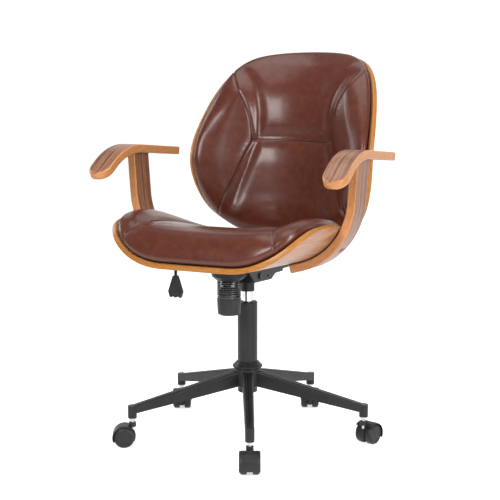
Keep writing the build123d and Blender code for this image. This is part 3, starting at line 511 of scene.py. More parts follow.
cushion_gap = 0.0006
seat_inset = 0.0040
seat_rim_height = 0.016
seat_roll = 0.048
seat_bulge = 0.0075
seat_drawn = 0.005
bolster_x = 0.225
seat_crown = [(-0.280, 0.534), (-0.240, 0.538), (-0.200, 0.540), (-0.160, 0.539), (-0.100, 0.530),
              (-0.050, 0.521), (0.000, 0.511), (0.080, 0.496), (0.150, 0.488), (0.220, 0.482)]
bolster_rise = [(-0.280, 0.014), (-0.200, 0.026), (-0.130, 0.038), (-0.050, 0.042), (0.100, 0.036),
                (0.220, 0.026)]
grid = 140
under_gap = 0.002
held_at_seam = 0.004
held_at_rim = 0.001
most_swell = 0.004
cloth_frames = 20
smoothing_rounds = 40
crease_share = 0.07
drawn_width = 0.018
boxed_edge = 0.006
groove_depth = 0.0026
groove_width = 0.0024
pucker_height = 0.00006
pucker_pitch = 0.013
pucker_wander = 0.017
pucker_place = 0.009
pucker_width = 0.006
# width of the painted shade along the seam lines
painted_seam_shade_width = 0.0014
seat_seam = [(0.212, -0.273), (0.205, -0.264), (0.198, -0.255), (0.188, -0.240), (0.176, -0.216),
             (0.167, -0.170), (0.160, -0.100), (0.155, 0.000), (0.148, 0.090), (0.135, 0.160)]


def leather_finish():
    """Glossy brown leather: even mottling, fine pebble and faint creases, with painted shade along the seam
    lines.
    """
    made, shader = finish("brown_leather", Specular_IOR_Level=0.30, Coat_Weight=0.14, Coat_Roughness=0.14)
    place = object_place(made)
    mottle = noise(made, place, 55.0, 6.0, 0.65)
    patches = noise(made, place, 8.0, 2.0)
    dark, middle, light = (0.068, 0.0150, 0.0079), (0.085, 0.0200, 0.0107), (0.110, 0.0280, 0.0155)
    tone = ramp(made, mottle, (0.30, dark), (0.50, middle), (0.74, light))
    cast = ramp(made, patches, (0.35, (0.90, 0.88, 0.86)), (0.65, (1.0, 1.0, 1.0)))
    # painted shade: the leather's colour is darkened along the seam lines, standing for the shade in their
    # grooves
    painted_seam_shade = node(made, "Attribute", {"attribute_name": "painted_seam_shade"}).outputs["Fac"]
    shade = ramp(made, painted_seam_shade, (0.0, (1, 1, 1)), (1.0, (0.46, 0.41, 0.39)))
    wire(made, tinted(made, 1.0, tinted(made, 1.0, tone, cast), shade), shader, "Base Color")
    wire(made, spread(made, patches, 0.22, 0.38), shader, "Roughness")
    grain = {"Vector": place, "Scale": 620.0}
    cells = node(made, "TexVoronoi", {"feature": "DISTANCE_TO_EDGE"}, grain).outputs[0]
    pebble = node(made, "Math", {"operation": "MINIMUM"}, {0: cells, 1: 0.25}).outputs[0]
    creases = noise(made, place, 95.0, 4.0, 0.6)
    height = node(made, "Math", {"operation": "MULTIPLY_ADD"}, {0: creases, 1: 0.8, 2: pebble}).outputs[0]
    bumped(made, shader, height, 0.16, 0.0006)
    return made


leather = leather_finish()


def rim_loop(count):
    """Indices of a square grid's border, in order."""
    low = list(range(count))
    right = [count * i + count - 1 for i in range(1, count)]
    high = [count * (count - 1) + i for i in range(count - 2, -1, -1)]
    left = [count * i for i in range(count - 2, 0, -1)]
    return low + right + high + left


def line_distance(points, line):
    """Distance of points from a line of short runs, and how far along it the nearest place is."""
    best = np.full(len(points), 1e9)
    along = np.zeros(len(points))
    gone = 0.0
    for p, q in zip(line, line[1:]):
        p, q = np.array(p), np.array(q)
        step = q - p
        share = np.clip(((points - p) @ step) / (step @ step), 0, 1)
        gap = np.linalg.norm(points - p - share[:, None] * step, axis=1)
        nearer = gap < best
        best = np.where(nearer, gap, best)
        along = np.where(nearer, gone + share * np.linalg.norm(step), along)
        gone += np.linalg.norm(step)
    return best, along


def smooth_line(points, steps=8):
    """A smooth line through a few points."""
    points = [np.array(p, float) for p in points]
    ends = [2 * points[0] - points[1], *points, 2 * points[-1] - points[-2]]
    line = []
    for a, b, c, d in zip(ends, ends[1:], ends[2:], ends[3:]):
        for i in range(steps):
            t = i / steps
            curve = (2 * a - 5 * b + 4 * c - d) * t**2 + (3 * b - a - 3 * c + d) * t**3
            line.append(b + 0.5 * ((c - a) * t + curve))
    return [tuple(p) for p in [*line, points[-1]]]


def stuffed(name, middle, rim, inset, surface, ply_thickness, lift, rim_height, roll, bulge, seams, plan_of):
    """A leather cushion on a shell: laid out over it, blown up as cloth held at its seams, then drawn in
    along them.
    """
    line = np.linspace(-1, 1, grid)
    u, v = [m.ravel() for m in np.meshgrid(line, line)]
    disc = np.stack([u * np.sqrt(1 - v * v / 2), v * np.sqrt(1 - u * u / 2)], 1)
    spokes = rim - middle
    rim_angle = np.arctan2(spokes[:, 1], spokes[:, 0])
    angle = np.arctan2(disc[:, 1], disc[:, 0])
    reach = np.interp(angle, rim_angle, np.hypot(*spokes.T), period=2 * pi) - inset
    plan = middle + disc * reach[:, None]
    from_rim = (1 - np.hypot(*disc.T)) * reach
    foot, out = surface(plan, ply_thickness)
    beyond = surface(plan + 0.001 * disc, ply_thickness)[0] - foot
    away = beyond / np.maximum(np.linalg.norm(beyond, axis=1, keepdims=True), 1e-9)
    swell = away * (bulge * (1 - rolled(from_rim, roll)) ** 2)[:, None]
    seam_gap = np.min([line_distance(plan, s)[0] for s in seams], axis=0)
    border = rim_loop(grid)
    rows = [foot + lift(plan, from_rim, seam_gap, foot, out) + swell]
    for share, swelled in ((0.55, 0.75), (0.0, 0.0)):
        low = share * rim_height + cushion_gap
        rows.append(foot[border] + out[border] * low + swell[border] * swelled)
    for share in (0.86, 0.62, 0.34):
        under, up = surface(middle + (plan[border] - middle) * share, ply_thickness)
        rows.append(under + up * under_gap)
    points = np.concatenate(rows)
    faces = []
    for i in range(grid - 1):
        for j in range(grid - 1):
            k = i * grid + j
            faces.append((k, k + 1, k + grid + 1, k + grid))
    loops = [border]
    for i in range(len(rows) - 1):
        loops.append([grid * grid + i * len(border) + j for j in range(len(border))])
    for upper, lower in zip(loops, loops[1:]):
        for j in range(len(border)):
            faces.append((upper[j - 1], lower[j - 1], lower[j], upper[j]))
    mesh = bpy.data.meshes.new(name)
    mesh.from_pydata([tuple(p) for p in points], [], faces)
    outward_smooth(mesh)
    piece = bpy.data.objects.new(name, mesh)
    bpy.context.scene.collection.objects.link(piece)
    held = np.ones(len(points))
    held[: grid * grid] = np.where((seam_gap < held_at_seam) | (from_rim < held_at_rim), 1.0, 0.0)
    blow_up(piece, held > 0.5)
    finer = piece.modifiers.new("finer", "SUBSURF")
    finer.levels = 1
    finer.render_levels = 1
    settle(piece)
    sew_in(piece, seams, plan_of)
    close_below(piece.data)
    piece.data.materials.append(leather)
    return piece


def rolled(from_rim, roll):
    """How much of its full height a cushion has, at a distance from its rim."""
    return np.sqrt(1 - (1 - np.clip(from_rim / roll, 0, 1)) ** 2)


def outward_smooth(mesh):
    """Turn all faces outwards and shade them smooth."""
    body = bmesh.new()
    body.from_mesh(mesh)
    bmesh.ops.recalc_face_normals(body, faces=body.faces)
    for face in body.faces:
        face.smooth = True
    body.to_mesh(mesh)
    body.free()


def blow_up(piece, held):
    """Inflate the free part of a piece as cloth, and keep its swell with a share of its creases."""
    start = np.array([v.co for v in piece.data.vertices])
    pins = piece.vertex_groups.new(name="held")
    pins.add([int(i) for i in np.flatnonzero(held)], 1.0, "REPLACE")
    cloth = piece.modifiers.new("cloth", "CLOTH")
    cloth.settings.vertex_group_mass = "held"
    cloth.settings.quality = 5
    cloth.settings.mass = 0.3
    cloth.settings.tension_stiffness = 12
    cloth.settings.compression_stiffness = 12
    cloth.settings.bending_stiffness = 4.0
    cloth.settings.shrink_min = 0.0
    cloth.settings.use_pressure = True
    cloth.settings.uniform_pressure_force = 4.0
    cloth.settings.effector_weights.gravity = 0.0
    scene = bpy.context.scene
    for number in range(1, cloth_frames + 1):
        scene.frame_set(number)
    graph = bpy.context.evaluated_depsgraph_get()
    swollen = np.array([v.co for v in piece.evaluated_get(graph).data.vertices])
    scene.frame_set(1)
    piece.modifiers.clear()
    piece.vertex_groups.clear()
    move = swollen - start
    ends = np.array([e.vertices for e in piece.data.edges])
    meeting = np.bincount(ends.ravel(), minlength=len(start))[:, None]
    swell = move.copy()
    for _ in range(smoothing_rounds):
        around = np.zeros_like(swell)
        np.add.at(around, ends[:, 0], swell[ends[:, 1]])
        np.add.at(around, ends[:, 1], swell[ends[:, 0]])
        swell = (swell + around / np.maximum(meeting, 1)) / 2
        swell[held] = 0
    move = swell + crease_share * (move - swell)
    length = np.linalg.norm(move, axis=1, keepdims=True)
    move *= most_swell / (most_swell + length)
    piece.data.vertices.foreach_set("co", (start + move).ravel())
    piece.data.update()


def sew_in(piece, seams, plan_of):
    """Pull the leather down into the seams, with faint puckers beside them, and mark the seam lines for a
    painted shade.
    """
    mesh = piece.data
    co = np.array([v.co for v in mesh.vertices])
    normal = np.array([v.normal for v in mesh.vertices])
    plan, shown = plan_of(co, normal)
    marks = np.zeros(len(co))
    for seam in seams:
        gap, along = line_distance(plan, seam)
        groove = groove_depth * np.exp(-((gap / groove_width) ** 2))
        wander = 2.5 * np.sin(along / pucker_wander)
        pucker = pucker_height * np.sin(2 * pi * along / pucker_pitch + wander)
        pucker *= np.exp(-(((gap - pucker_place) / pucker_width) ** 2))
        co -= normal * ((groove + pucker) * shown)[:, None]
        # painted shade: a narrow band along each seam line, which the leather's colour darkens
        marks = np.maximum(marks, np.exp(-((gap / painted_seam_shade_width) ** 2)) * shown)
    mesh.vertices.foreach_set("co", co.ravel())
    mesh.attributes.new("painted_seam_shade", "FLOAT", "POINT").data.foreach_set("value", marks)
    mesh.update()


def close_below(mesh):
    """Close the hole that is left in a cushion's underside."""
    body = bmesh.new()
    body.from_mesh(mesh)
    bmesh.ops.holes_fill(body, edges=[e for e in body.edges if e.is_boundary])
    bmesh.ops.triangulate(body, faces=[f for f in body.faces if len(f.verts) > 4])
    bmesh.ops.recalc_face_normals(body, faces=body.faces)
    body.to_mesh(mesh)
    body.free()


def read_off(profile, places):
    """Values of a smooth profile of (place, value) points."""
    fine = np.array(smooth_line(profile))
    return np.interp(places, fine[:, 0], fine[:, 1])


def seat_lift(plan, from_rim, seam_gap, foot, out):
    """Way from shell to leather: rolled at the rim, dished between the bolsters, drawn into the channels."""
    level = read_off(seat_crown, plan[:, 1])
    level += read_off(bolster_rise, plan[:, 1]) * np.abs(plan[:, 0] / bolster_x) ** 3
    level -= seat_drawn * np.exp(-((seam_gap / drawn_width) ** 2))
    rise = rolled(from_rim, seat_roll)
    return out * (seat_rim_height * (1 - rise))[:, None] + np.outer((level - foot[:, 2]) * rise, (0, 0, 1))


def seat_plan(co, normal):
    """Plan of the cushion's points, and which of them lie on its upper side."""
    above = co[:, 2] - seat_face(co[:, 0], co[:, 1], ply)
    return co[:, :2], ((normal[:, 2] > -0.4) & (above > boxed_edge)).astype(float)


right_channel = smooth_line(seat_seam)
seat_channels = [right_channel, [(-x, y) for x, y in right_channel]]
seat_pad = stuffed("seat_pad", seat_middle, seat_rims[1], seat_inset, seat_surface, ply, seat_lift,
                   seat_rim_height, seat_roll, seat_bulge, seat_channels, seat_plan)
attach(seat_pad, "seat")
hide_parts("seat_cushion")


# Back shell. Plywood of the same make, bent to one radius across, upright at the waist and leaning
# back above it; four bolts hold it to the steel bar behind.

back_radius = 0.320
back_ply = 0.012
back_y = 0.303
lean_start = 0.650
lean = radians(22)
lean_radius = 0.250
back_middle = np.array((0.0, 0.71))
back_outline = [(0.0, 0.468), (0.090, 0.471), (0.152, 0.484), (0.196, 0.512), (0.226, 0.545), (0.246, 0.588),
                (0.259, 0.645), (0.261, 0.695), (0.255, 0.757), (0.246, 0.803), (0.233, 0.848),
                (0.211, 0.892), (0.179, 0.923), (0.108, 0.943), (0.0, 0.948)]


def back_face(x, z, before):
    """Depth of the level that lies so far before the back shell's rear face."""
    rise = np.maximum(z - lean_start, 0)
    bend = np.minimum(rise, lean_radius * sin(lean))
    spine = back_y + lean_radius - np.sqrt(lean_radius**2 - bend**2) + (rise - bend) * tan(lean)
    return spine - back_radius + np.sqrt(np.maximum((back_radius - before) ** 2 - x**2, 1e-8))


def back_surface(plan, level):
    """Points on a level of the back shell, and the directions square to it, towards the sitter."""
    x, z = plan[:, 0], plan[:, 1]
    step = 0.0005
    slope_x = (back_face(x + step, z, level) - back_face(x - step, z, level)) / (2 * step)
    slope_z = (back_face(x, z + step, level) - back_face(x, z - step, level)) / (2 * step)
    out = np.stack([slope_x, -np.ones_like(x), slope_z], 1)
    return np.stack([x, back_face(x, z, level), z], 1), out / np.linalg.norm(out, axis=1, keepdims=True)


back_rims = square_rims(closed_curve(back_outline, rim_steps), back_surface, back_ply, [0, 2])
back_board = bent_shell("back_board", back_middle, back_rims, back_surface, back_ply)
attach(back_board, "seat")
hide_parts("back_shell")


# Back cushion. The same leather over foam, cut in four: two wings, and a middle with a cross seam at
# the waist. The seams bow towards each other at the waist.

back_inset = 0.0035
back_rim_height = 0.017
back_roll = 0.046
back_bulge = 0.0040
back_drawn = 0.008
back_fullness = [(0.460, 0.040), (0.500, 0.044), (0.547, 0.047), (0.590, 0.042), (0.645, 0.038),
                 (0.700, 0.036), (0.726, 0.038), (0.751, 0.044), (0.795, 0.055), (0.842, 0.057),
                 (0.897, 0.044), (0.950, 0.030)]
waist = (0.112, 0.725)
wing_seam = [(0.206, 0.919), (0.183, 0.898), (0.143, 0.842), (0.122, 0.795), (0.1135, 0.751), waist,
             (0.122, 0.700), (0.143, 0.645), (0.165, 0.590), (0.1825, 0.547), (0.197, 0.512)]


def back_lift(plan, from_rim, seam_gap, foot, out):
    """Way from shell to leather: rolled at the rim, thin at the waist, drawn in along the seams."""
    full = read_off(back_fullness, plan[:, 1]) - back_drawn * np.exp(-((seam_gap / drawn_width) ** 2))
    rise = rolled(from_rim, back_roll)
    return out * (back_rim_height + (full - back_rim_height) * rise)[:, None]


def back_plan(co, normal):
    """Elevation of the cushion's points, and which of them lie on its front."""
    before = back_face(co[:, 0], co[:, 2], back_ply) - co[:, 1]
    return co[:, [0, 2]], ((normal[:, 1] < 0.3) & (before > boxed_edge)).astype(float)


left_wing = smooth_line(wing_seam)
back_seams = [left_wing, [(-x, z) for x, z in left_wing], [(-waist[0], waist[1]), waist]]
back_pad = stuffed("back_pad", back_middle, back_rims[1], back_inset, back_surface, back_ply, back_lift,
                   back_rim_height, back_roll, back_bulge, back_seams, back_plan)
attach(back_pad, "seat")
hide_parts("back_cushion")


# Topstitching. A row of short brown stitches runs on each side of every seam and holds the seam
# allowance flat under the leather.

stitch_pitch = 0.0046
stitch_length = 0.0034
stitch_thickness = 0.0009
stitch_offset = 0.0055
stitch_stand = 0.15
look_from = 2.0
steepest = 0.45

thread, thread_shader = finish("brown_thread", Specular_IOR_Level=0.3)
thread_tone = noise(thread, object_place(thread), 900.0)
thread_colour = ramp(thread, thread_tone, (0.35, (0.100, 0.034, 0.020)), (0.65, (0.190, 0.075, 0.045)))
wire(thread, thread_colour, thread_shader, "Base Color")
wire(thread, spread(thread, thread_tone, 0.55, 0.75), thread_shader, "Roughness")


def stitch_tree(made):
    """A tree that sets stitches at a pitch along its lines."""
    tree, start, end = geometry_tree("topstitch", ["Pitch", "Length", "Thickness"])
    marks = tree.nodes.new("GeometryNodeCurveToPoints")
    marks.mode = "LENGTH"
    bead = tree.nodes.new("GeometryNodeMeshUVSphere")
    bead.inputs["Segments"].default_value = 6
    bead.inputs["Rings"].default_value = 5
    bead.inputs["Radius"].default_value = 0.5
    shape = tree.nodes.new("ShaderNodeCombineXYZ")
    stitch = tree.nodes.new("GeometryNodeTransform")
    rows = tree.nodes.new("GeometryNodeInstanceOnPoints")
    tree.links.new(start.outputs["Geometry"], marks.inputs["Curve"])
    tree.links.new(start.outputs["Pitch"], marks.inputs["Length"])
    tree.links.new(start.outputs["Thickness"], shape.inputs["X"])
    tree.links.new(start.outputs["Thickness"], shape.inputs["Y"])
    tree.links.new(start.outputs["Length"], shape.inputs["Z"])
    tree.links.new(bead.outputs["Mesh"], stitch.inputs["Geometry"])
    tree.links.new(shape.outputs["Vector"], stitch.inputs["Scale"])
    tree.links.new(marks.outputs["Points"], rows.inputs["Points"])
    tree.links.new(marks.outputs["Rotation"], rows.inputs["Rotation"])
    tree.links.new(stitch.outputs["Geometry"], rows.inputs["Instance"])
    end_tree(tree, rows.outputs["Instances"], made, end)
    return tree


def stitch_rows(pad, seams, flat, way):
    """Lines beside a cushion's seams, laid on its leather along a direction of view."""
    mesh = pad.data
    skin = BVHTree.FromPolygons([v.co for v in mesh.vertices], [p.vertices for p in mesh.polygons])
    way = Vector(way)
    rows = []
    for seam in seams:
        run = np.array(seam)
        course = np.gradient(run, axis=0)
        course /= np.linalg.norm(course, axis=1, keepdims=True)
        beside = np.stack([-course[:, 1], course[:, 0]], 1)
        for side in (-stitch_offset, stitch_offset):
            row = []
            for spot in run + side * beside:
                start = -look_from * way
                start[flat[0]], start[flat[1]] = spot
                place, normal, _, _ = skin.ray_cast(start, way)
                if place is not None and normal.dot(way) < -steepest:
                    row.append(place + normal * stitch_stand * stitch_thickness)
            if len(row) > 2:
                rows.append(row)
    return rows


stitch_lines = stitch_rows(seat_pad, seat_channels, (0, 1), (0, 0, -1))
stitch_lines += stitch_rows(back_pad, back_seams, (0, 2), (0, 1, 0))
stitch_sizes = {"Pitch": stitch_pitch, "Length": stitch_length, "Thickness": stitch_thickness}
stitches = grown("topstitching", stitch_lines, stitch_tree(thread), stitch_sizes)
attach(stitches, "seat")


# Arms. Each upright is a strip of bent plywood, bolted under the seat and bent up beside it, with a
# near-black sheet of painted shade in the gap between; a scrolled pad lies on its end. Walnut veneer covers
# the faces, and the edges show plies.

arm_gap = 0.0026
arm_thickness = 0.0207
arm_middle_y = -0.01915
arm_half_width = 0.03475
arm_foot_slope = radians(15)
arm_lean = radians(85.8)
arm_foot_length = 0.028
arm_bolt_angles = (radians(26.0), radians(46.8))
bolt_recess_radius = 0.0063
bolt_recess_depth = 0.009
pad_half_width = 0.0303
pad_thickness = 0.0206
pad_centre_x = 0.3013
pad_corners = [(0.1353, 0.6995), (-0.1025, 0.7175), (-0.200, 0.647), (-0.262, 0.646)]
pad_radii = [0.175, 0.098]
pad_tip = (-0.166, 0.647)
pad_tip_slope = radians(29)
pad_tip_round = 0.029
pad_tip_length = 0.036
pad_nose = 0.0075
pad_tip_stations = 22
pad_tip_depth = 0.35
pad_splay = radians(1.5)
pad_bury = 0.007
arm_round = 0.0030
# sizes of the near-black sheet of painted shade in the gap between shell and arm
gap_shade_half_width = 0.031
gap_shade_slack = 0.0002
gap_shade_end = radians(60)

arm_veneer = wood_grain("arm_veneer", 2.6,
                        (0.085, 0.034, 0.018), (0.23, 0.098, 0.050), (0.34, 0.155, 0.082))
arm_edge = ply_edge("arm_edge", 9, (0.36, 0.145, 0.048), (0.55, 0.245, 0.090))
# painted shade: a near-black material for the sheet that stands for the shadow in the gap between seat shell
# and arm
gap_shade_black = pebbled_black("gap_shade_black", (0.012, 0.012, 0.012), 1200.0, 0.0003, 0.85, 0.95)


def bent_line(corners, radii, step=0.004):
    """Points along straight runs joined by arcs, evenly spaced, with the directions square to them."""
    corners = [np.array(c, float) for c in corners]
    points = [corners[0]]
    for a, b, c, radius in zip(corners, corners[1:], corners[2:], radii):
        back = (a - b) / np.linalg.norm(a - b)
        ahead = (c - b) / np.linalg.norm(c - b)
        half = acos(back @ ahead) / 2
        centre = b + (back + ahead) / np.linalg.norm(back + ahead) * radius / sin(half)
        turn = pi - 2 * half
        first = b + back * radius / tan(half) - centre
        last = b + ahead * radius / tan(half) - centre
        for t in np.linspace(0, 1, 60):
            points.append(centre + (sin((1 - t) * turn) * first + sin(t * turn) * last) / sin(turn))
    points = np.array([*points, corners[-1]])
    gone = np.append(0, np.cumsum(np.linalg.norm(np.diff(points, axis=0), axis=1)))
    marks = np.linspace(0, gone[-1], int(gone[-1] / step))
    line = np.stack([np.interp(marks, gone, points[:, 0]), np.interp(marks, gone, points[:, 1])], 1)
    course = np.gradient(line, axis=0)
    course /= np.linalg.norm(course, axis=1, keepdims=True)
    return line, np.stack([-course[:, 1], course[:, 0]], 1)


def rounded_section(wide, high, corner):
    """Points round a strip's section: a corner and the run after it, four times over."""
    points = []
    for quarter, (x, z) in enumerate(((1, 1), (-1, 1), (-1, -1), (1, -1))):
        for angle in np.linspace(0, pi / 2, 4) + quarter * pi / 2:
            across = x * (wide - corner) + corner * cos(angle)
            points.append((across, z * (high - corner) + corner * sin(angle)))
        along = ((-x, 0), (0, -z))[quarter % 2]
        run = 2 * ((wide, high)[quarter % 2] - corner)
        for share in (0.06, 0.94):
            start = points[6 * quarter + 3]
            points.append((start[0] + along[0] * run * share, start[1] + along[1] * run * share))
    return points


def strip(name, place, line, square, reach, depth, corner, materials):
    """A bent strip with a rounded section along its line, given by half widths, half depths and corners."""
    body = bmesh.new()
    layer = body.loops.layers.uv.new("grain")
    gone = np.append(0, np.cumsum(np.linalg.norm(np.diff(line, axis=0), axis=1)))
    mark = {}
    rings = []
    for spot, out, wide, high, bend, run in zip(line, square, reach, depth, corner, gone):
        ring = []
        for across, level in rounded_section(wide, high, min(bend, 0.95 * wide, 0.95 * high)):
            vert = body.verts.new(place(spot + out * level, across))
            mark[vert] = (across, run, 0.5 + level / (2 * depth.max()))
            ring.append(vert)
        rings.append(ring)
    count = len(rings[0])
    for near, far in zip(rings, rings[1:]):
        for i in range(count):
            side = body.faces.new((near[i - 1], near[i], far[i], far[i - 1]))
            quarter, step = divmod((i - 1) % count, count // 4)
            side.material_index = 0 if step > 2 and quarter % 2 == 0 else 1
    for end in (rings[0], rings[-1]):
        body.faces.new(end).material_index = 1
    bmesh.ops.recalc_face_normals(body, faces=body.faces)
    for face in body.faces:
        face.smooth = len(face.verts) == 4
        for loop in face.loops:
            across, run, level = mark[loop.vert]
            loop[layer].uv = (run + across, level) if face.material_index else (across, run)
    return board(name, body, materials)


def eased_ends(line, square, ease):
    """A line with a point close to each end, where a strip's end can be rounded."""
    for end, inner in ((0, 1), (-1, -2)):
        share = ease / np.linalg.norm(line[inner] - line[end])
        where = 1 if end == 0 else len(line) - 1
        line = np.insert(line, where, line[end] + share * (line[inner] - line[end]), axis=0)
        square = np.insert(square, where, square[end], axis=0)
    return line, square


def bolt_recesses(piece, side):
    """Sink the holes for the arm bolts' heads into an upright's outer face."""
    body = bmesh.new()
    outer = curl_radius + arm_gap + arm_thickness
    for angle in arm_bolt_angles:
        out = Vector((side * sin(angle), 0, -cos(angle)))
        place = Vector((side * curl_x, arm_middle_y, seat_low + curl_radius)) + out * outer
        turn = out.to_track_quat("Z", "Y").to_matrix().to_4x4()
        turn.translation = place
        bmesh.ops.create_cone(body, cap_ends=True, segments=32, radius1=bolt_recess_radius,
                              radius2=bolt_recess_radius, depth=2 * bolt_recess_depth, matrix=turn)
    for face in body.faces:
        face.material_index = 1
    mesh = bpy.data.meshes.new("recess")
    body.to_mesh(mesh)
    body.free()
    cutter = bpy.data.objects.new("recess", mesh)
    bpy.context.scene.collection.objects.link(cutter)
    cut = piece.modifiers.new("recess", "BOOLEAN")
    cut.object = cutter
    cut.operation = "DIFFERENCE"
    cut.solver = "EXACT"
    settle(piece)
    bpy.data.objects.remove(cutter)


def upright_line():
    """Middle line of the right upright in the plane across the chair: foot, bend and post."""
    radius = curl_radius + arm_gap + arm_thickness / 2
    centre = np.array((curl_x, seat_low + curl_radius))
    along = np.array((cos(arm_foot_slope), sin(arm_foot_slope)))
    bend = centre + radius * np.array((sin(arm_foot_slope), -cos(arm_foot_slope)))
    corner = bend + along * radius * tan((arm_lean - arm_foot_slope) / 2)
    top_z = pad_corners[0][1] + pad_bury
    top = (corner[0] + (top_z - corner[1]) / tan(arm_lean), top_z)
    return bent_line([bend - along * arm_foot_length, corner, top], [radius])


def pad_shape():
    """Middle line of a pad from its rear end to the tip, with half widths, half depths and corners."""
    line, square = bent_line(pad_corners, pad_radii, 0.002)
    along_slope = (line - np.array(pad_tip)) @ np.array((cos(pad_tip_slope), sin(pad_tip_slope)))
    straight = along_slope > pad_tip_length - pad_tip_round
    angles = np.linspace(0, pi / 2, pad_tip_stations)[:-1]
    tip_marks = pad_tip_length - pad_tip_round - pad_tip_length * np.sin(angles)
    share = np.interp(-tip_marks, -along_slope, np.arange(len(line)))
    tip = np.stack([np.interp(share, np.arange(len(line)), line[:, i]) for i in (0, 1)], 1)
    tip_square = np.stack([np.interp(share, np.arange(len(line)), square[:, i]) for i in (0, 1)], 1)
    line, square = line[straight][::3], square[straight][::3]
    line = np.concatenate([line[:1], line[:1] + (line[1] - line[0]) * 0.25, line[1:], tip])
    square = np.concatenate([square[:1], square[:1], square[1:], tip_square])
    plain = len(line) - len(tip)
    reach = np.concatenate([np.full(plain, pad_half_width), pad_half_width * np.cos(angles)])
    left = pad_tip_length * (1 - np.sin(angles))
    nose = np.sqrt(1 - (1 - np.clip(left / pad_nose, 0, 1)) ** 2)
    depth = pad_thickness / 2 * np.concatenate([np.ones(plain), pad_tip_depth + (1 - pad_tip_depth) * nose])
    corner = np.concatenate([np.full(plain, arm_round), np.linspace(arm_round, pad_nose, len(tip))])
    reach[0] -= arm_round / 2
    depth[0] -= arm_round / 2
    return line, square, reach, depth, corner


def upright_shape():
    """Middle line of the right upright, with half widths, half depths and corners."""
    line, square = eased_ends(*upright_line(), arm_round / 2)
    reach = np.full(len(line), arm_half_width)
    depth = np.full(len(line), arm_thickness / 2)
    for end in (0, -1):
        reach[end] -= arm_round / 2
        depth[end] -= arm_round / 2
    return line, square, reach, depth, np.full(len(line), arm_round)


def gap_shade_shape():
    """A near-black sheet of painted shade between shell and right arm: it fills the gap between the two from
    the arm's foot to its bend.
    """
    line, square = upright_line()
    inner = line + square * arm_thickness / 2
    centre = np.array((curl_x, seat_low + curl_radius))
    inward = centre - inner
    far = np.linalg.norm(inward, axis=1)
    kept = np.arctan2(inner[:, 0] - curl_x, centre[1] - inner[:, 1]) < gap_shade_end
    inward = inward[kept] / far[kept, None]
    gap = far[kept] - curl_radius
    depth = gap / 2 - gap_shade_slack
    return inner[kept] + inward * gap[:, None] / 2, inward, np.full(len(gap), gap_shade_half_width), depth, depth


for side, hand in ((1, "left"), (-1, "right")):
    def on_upright(spot, across):
        return (side * spot[0], arm_middle_y + across, spot[1])

    def on_pad(spot, across):
        back = spot[0] - pad_corners[0][0]
        x = across * cos(pad_splay) - back * sin(pad_splay)
        y = pad_corners[0][0] + back * cos(pad_splay) + across * sin(pad_splay)
        return (side * (pad_centre_x + x), y, spot[1])

    post = strip(f"upright_board_{hand}", on_upright, *upright_shape(), (arm_veneer, arm_edge))
    bolt_recesses(post, side)
    rest = strip(f"pad_board_{hand}", on_pad, *pad_shape(), (arm_veneer, arm_edge))
    # painted shade: a near-black sheet in the gap between the shell and the arm
    shade_sheet = strip(f"gap_shade_sheet_{hand}", on_upright, *gap_shade_shape(), (gap_shade_black, gap_shade_black))
    for piece, stands_for in ((post, "arm_upright"), (rest, "arm_pad")):
        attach(piece, "seat")
        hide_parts(f"{stands_for}_{hand}")
    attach(shade_sheet, "seat")


# Fasteners. Zinc-plated machine bolts hold seat, back and arms; the spacers between the arms and the
# seat are turned from steel and powder coated.

dress(["arm_bolts", "seat_bolts", "back_bolts"], zinc)
dress(["arm_spacers"], powder_black)


# Studio. A pale sweep under and behind the chair, wide soft lamps, and the camera at the place that
# the photograph was taken from.

backdrop_glow = 0.62
sky_light = 0.28


def sweep_floor():
    """Floor that curves up into a backdrop."""
    width, front, rear, bend, high = 9.0, -7.0, 3.2, 1.6, 6.0
    profile = [(front, 0.0), (rear, 0.0)]
    profile += [(rear + bend * sin(a), bend - bend * cos(a)) for a in np.linspace(0.08, pi / 2, 16)]
    profile.append((rear + bend, high))
    points = [(side * width, y, z) for y, z in profile for side in (-1, 1)]
    faces = [(2 * i, 2 * i + 1, 2 * i + 3, 2 * i + 2) for i in range(len(profile) - 1)]
    mesh = bpy.data.meshes.new("sweep")
    mesh.from_pydata(points, [], faces)
    for face in mesh.polygons:
        face.use_smooth = True
    floor = bpy.data.objects.new("sweep", mesh)
    bpy.context.scene.collection.objects.link(floor)
    return floor


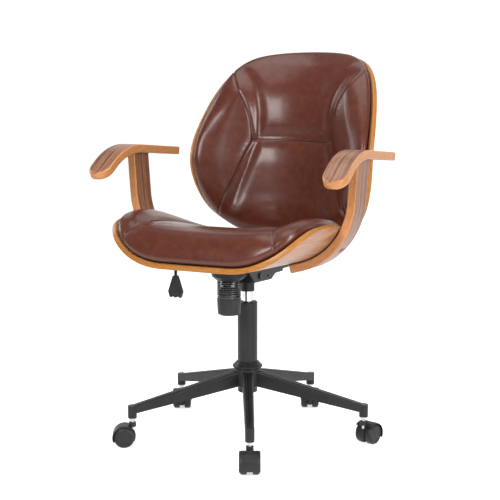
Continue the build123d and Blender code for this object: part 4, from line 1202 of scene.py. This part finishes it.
pale, pale_shader = finish("pale_sweep", Base_Color=(0.88, 0.88, 0.88, 1), Roughness=0.9,
                           Specular_IOR_Level=0.0, Emission_Color=(1, 1, 1, 1))
ray = node(pale, "LightPath").outputs
straight_or_mirrored = {0: ray["Is Camera Ray"], 1: ray["Is Glossy Ray"]}
seen = node(pale, "Math", {"operation": "MAXIMUM"}, straight_or_mirrored).outputs[0]
glow = node(pale, "Math", {"operation": "MULTIPLY"}, {0: seen, 1: backdrop_glow})
wire(pale, glow.outputs[0], pale_shader, "Emission Strength")
backdrop = sweep_floor()
backdrop.data.materials.append(pale)

sky = bpy.data.worlds.new("studio")
sky.use_nodes = True
sky_shader = sky.node_tree.nodes["Background"]
sky_shader.inputs["Color"].default_value = (1, 1, 1, 1)
sky_ray = sky.node_tree.nodes.new("ShaderNodeLightPath")
sky_level = sky.node_tree.nodes.new("ShaderNodeMapRange")
sky_level.inputs["To Min"].default_value = sky_light
sky_level.inputs["To Max"].default_value = 1.0
sky.node_tree.links.new(sky_ray.outputs["Is Camera Ray"], sky_level.inputs["Value"])
sky.node_tree.links.new(sky_level.outputs[0], sky_shader.inputs["Strength"])
bpy.context.scene.world = sky


def softbox(name, place, aim, size, power):
    """A soft rectangular lamp that points at a place."""
    lamp = bpy.data.lights.new(name, "AREA")
    lamp.shape = "RECTANGLE"
    lamp.size, lamp.size_y = size
    lamp.energy = power
    holder = bpy.data.objects.new(name, lamp)
    holder.location = place
    holder.rotation_euler = (Vector(aim) - Vector(place)).to_track_quat("-Z", "Y").to_euler()
    bpy.context.scene.collection.objects.link(holder)


softbox("key", (0.0, -3.0, 2.1), (0, 0, 0.6), (1.0, 1.4), 76)
softbox("right", (2.9, -1.3, 1.5), (0, 0, 0.6), (0.5, 1.7), 80)
softbox("left", (-2.9, 0.3, 1.7), (0, 0, 0.6), (1.0, 2.0), 30)
softbox("top", (0.2, 0.2, 3.2), (0, 0, 0.5), (2.4, 2.4), 46)

view = bpy.data.cameras.new("photo_view")
view.sensor_width = 36.0
view.lens = 87.21
eye = bpy.data.objects.new("photo_view", view)
eye.location = (1.359, -2.625, 0.8694)
eye.rotation_euler = (radians(90 - 7.74), 0, radians(27.252))
bpy.context.scene.collection.objects.link(eye)
bpy.context.scene.camera = eye
bpy.context.scene.view_settings.view_transform = "Standard"
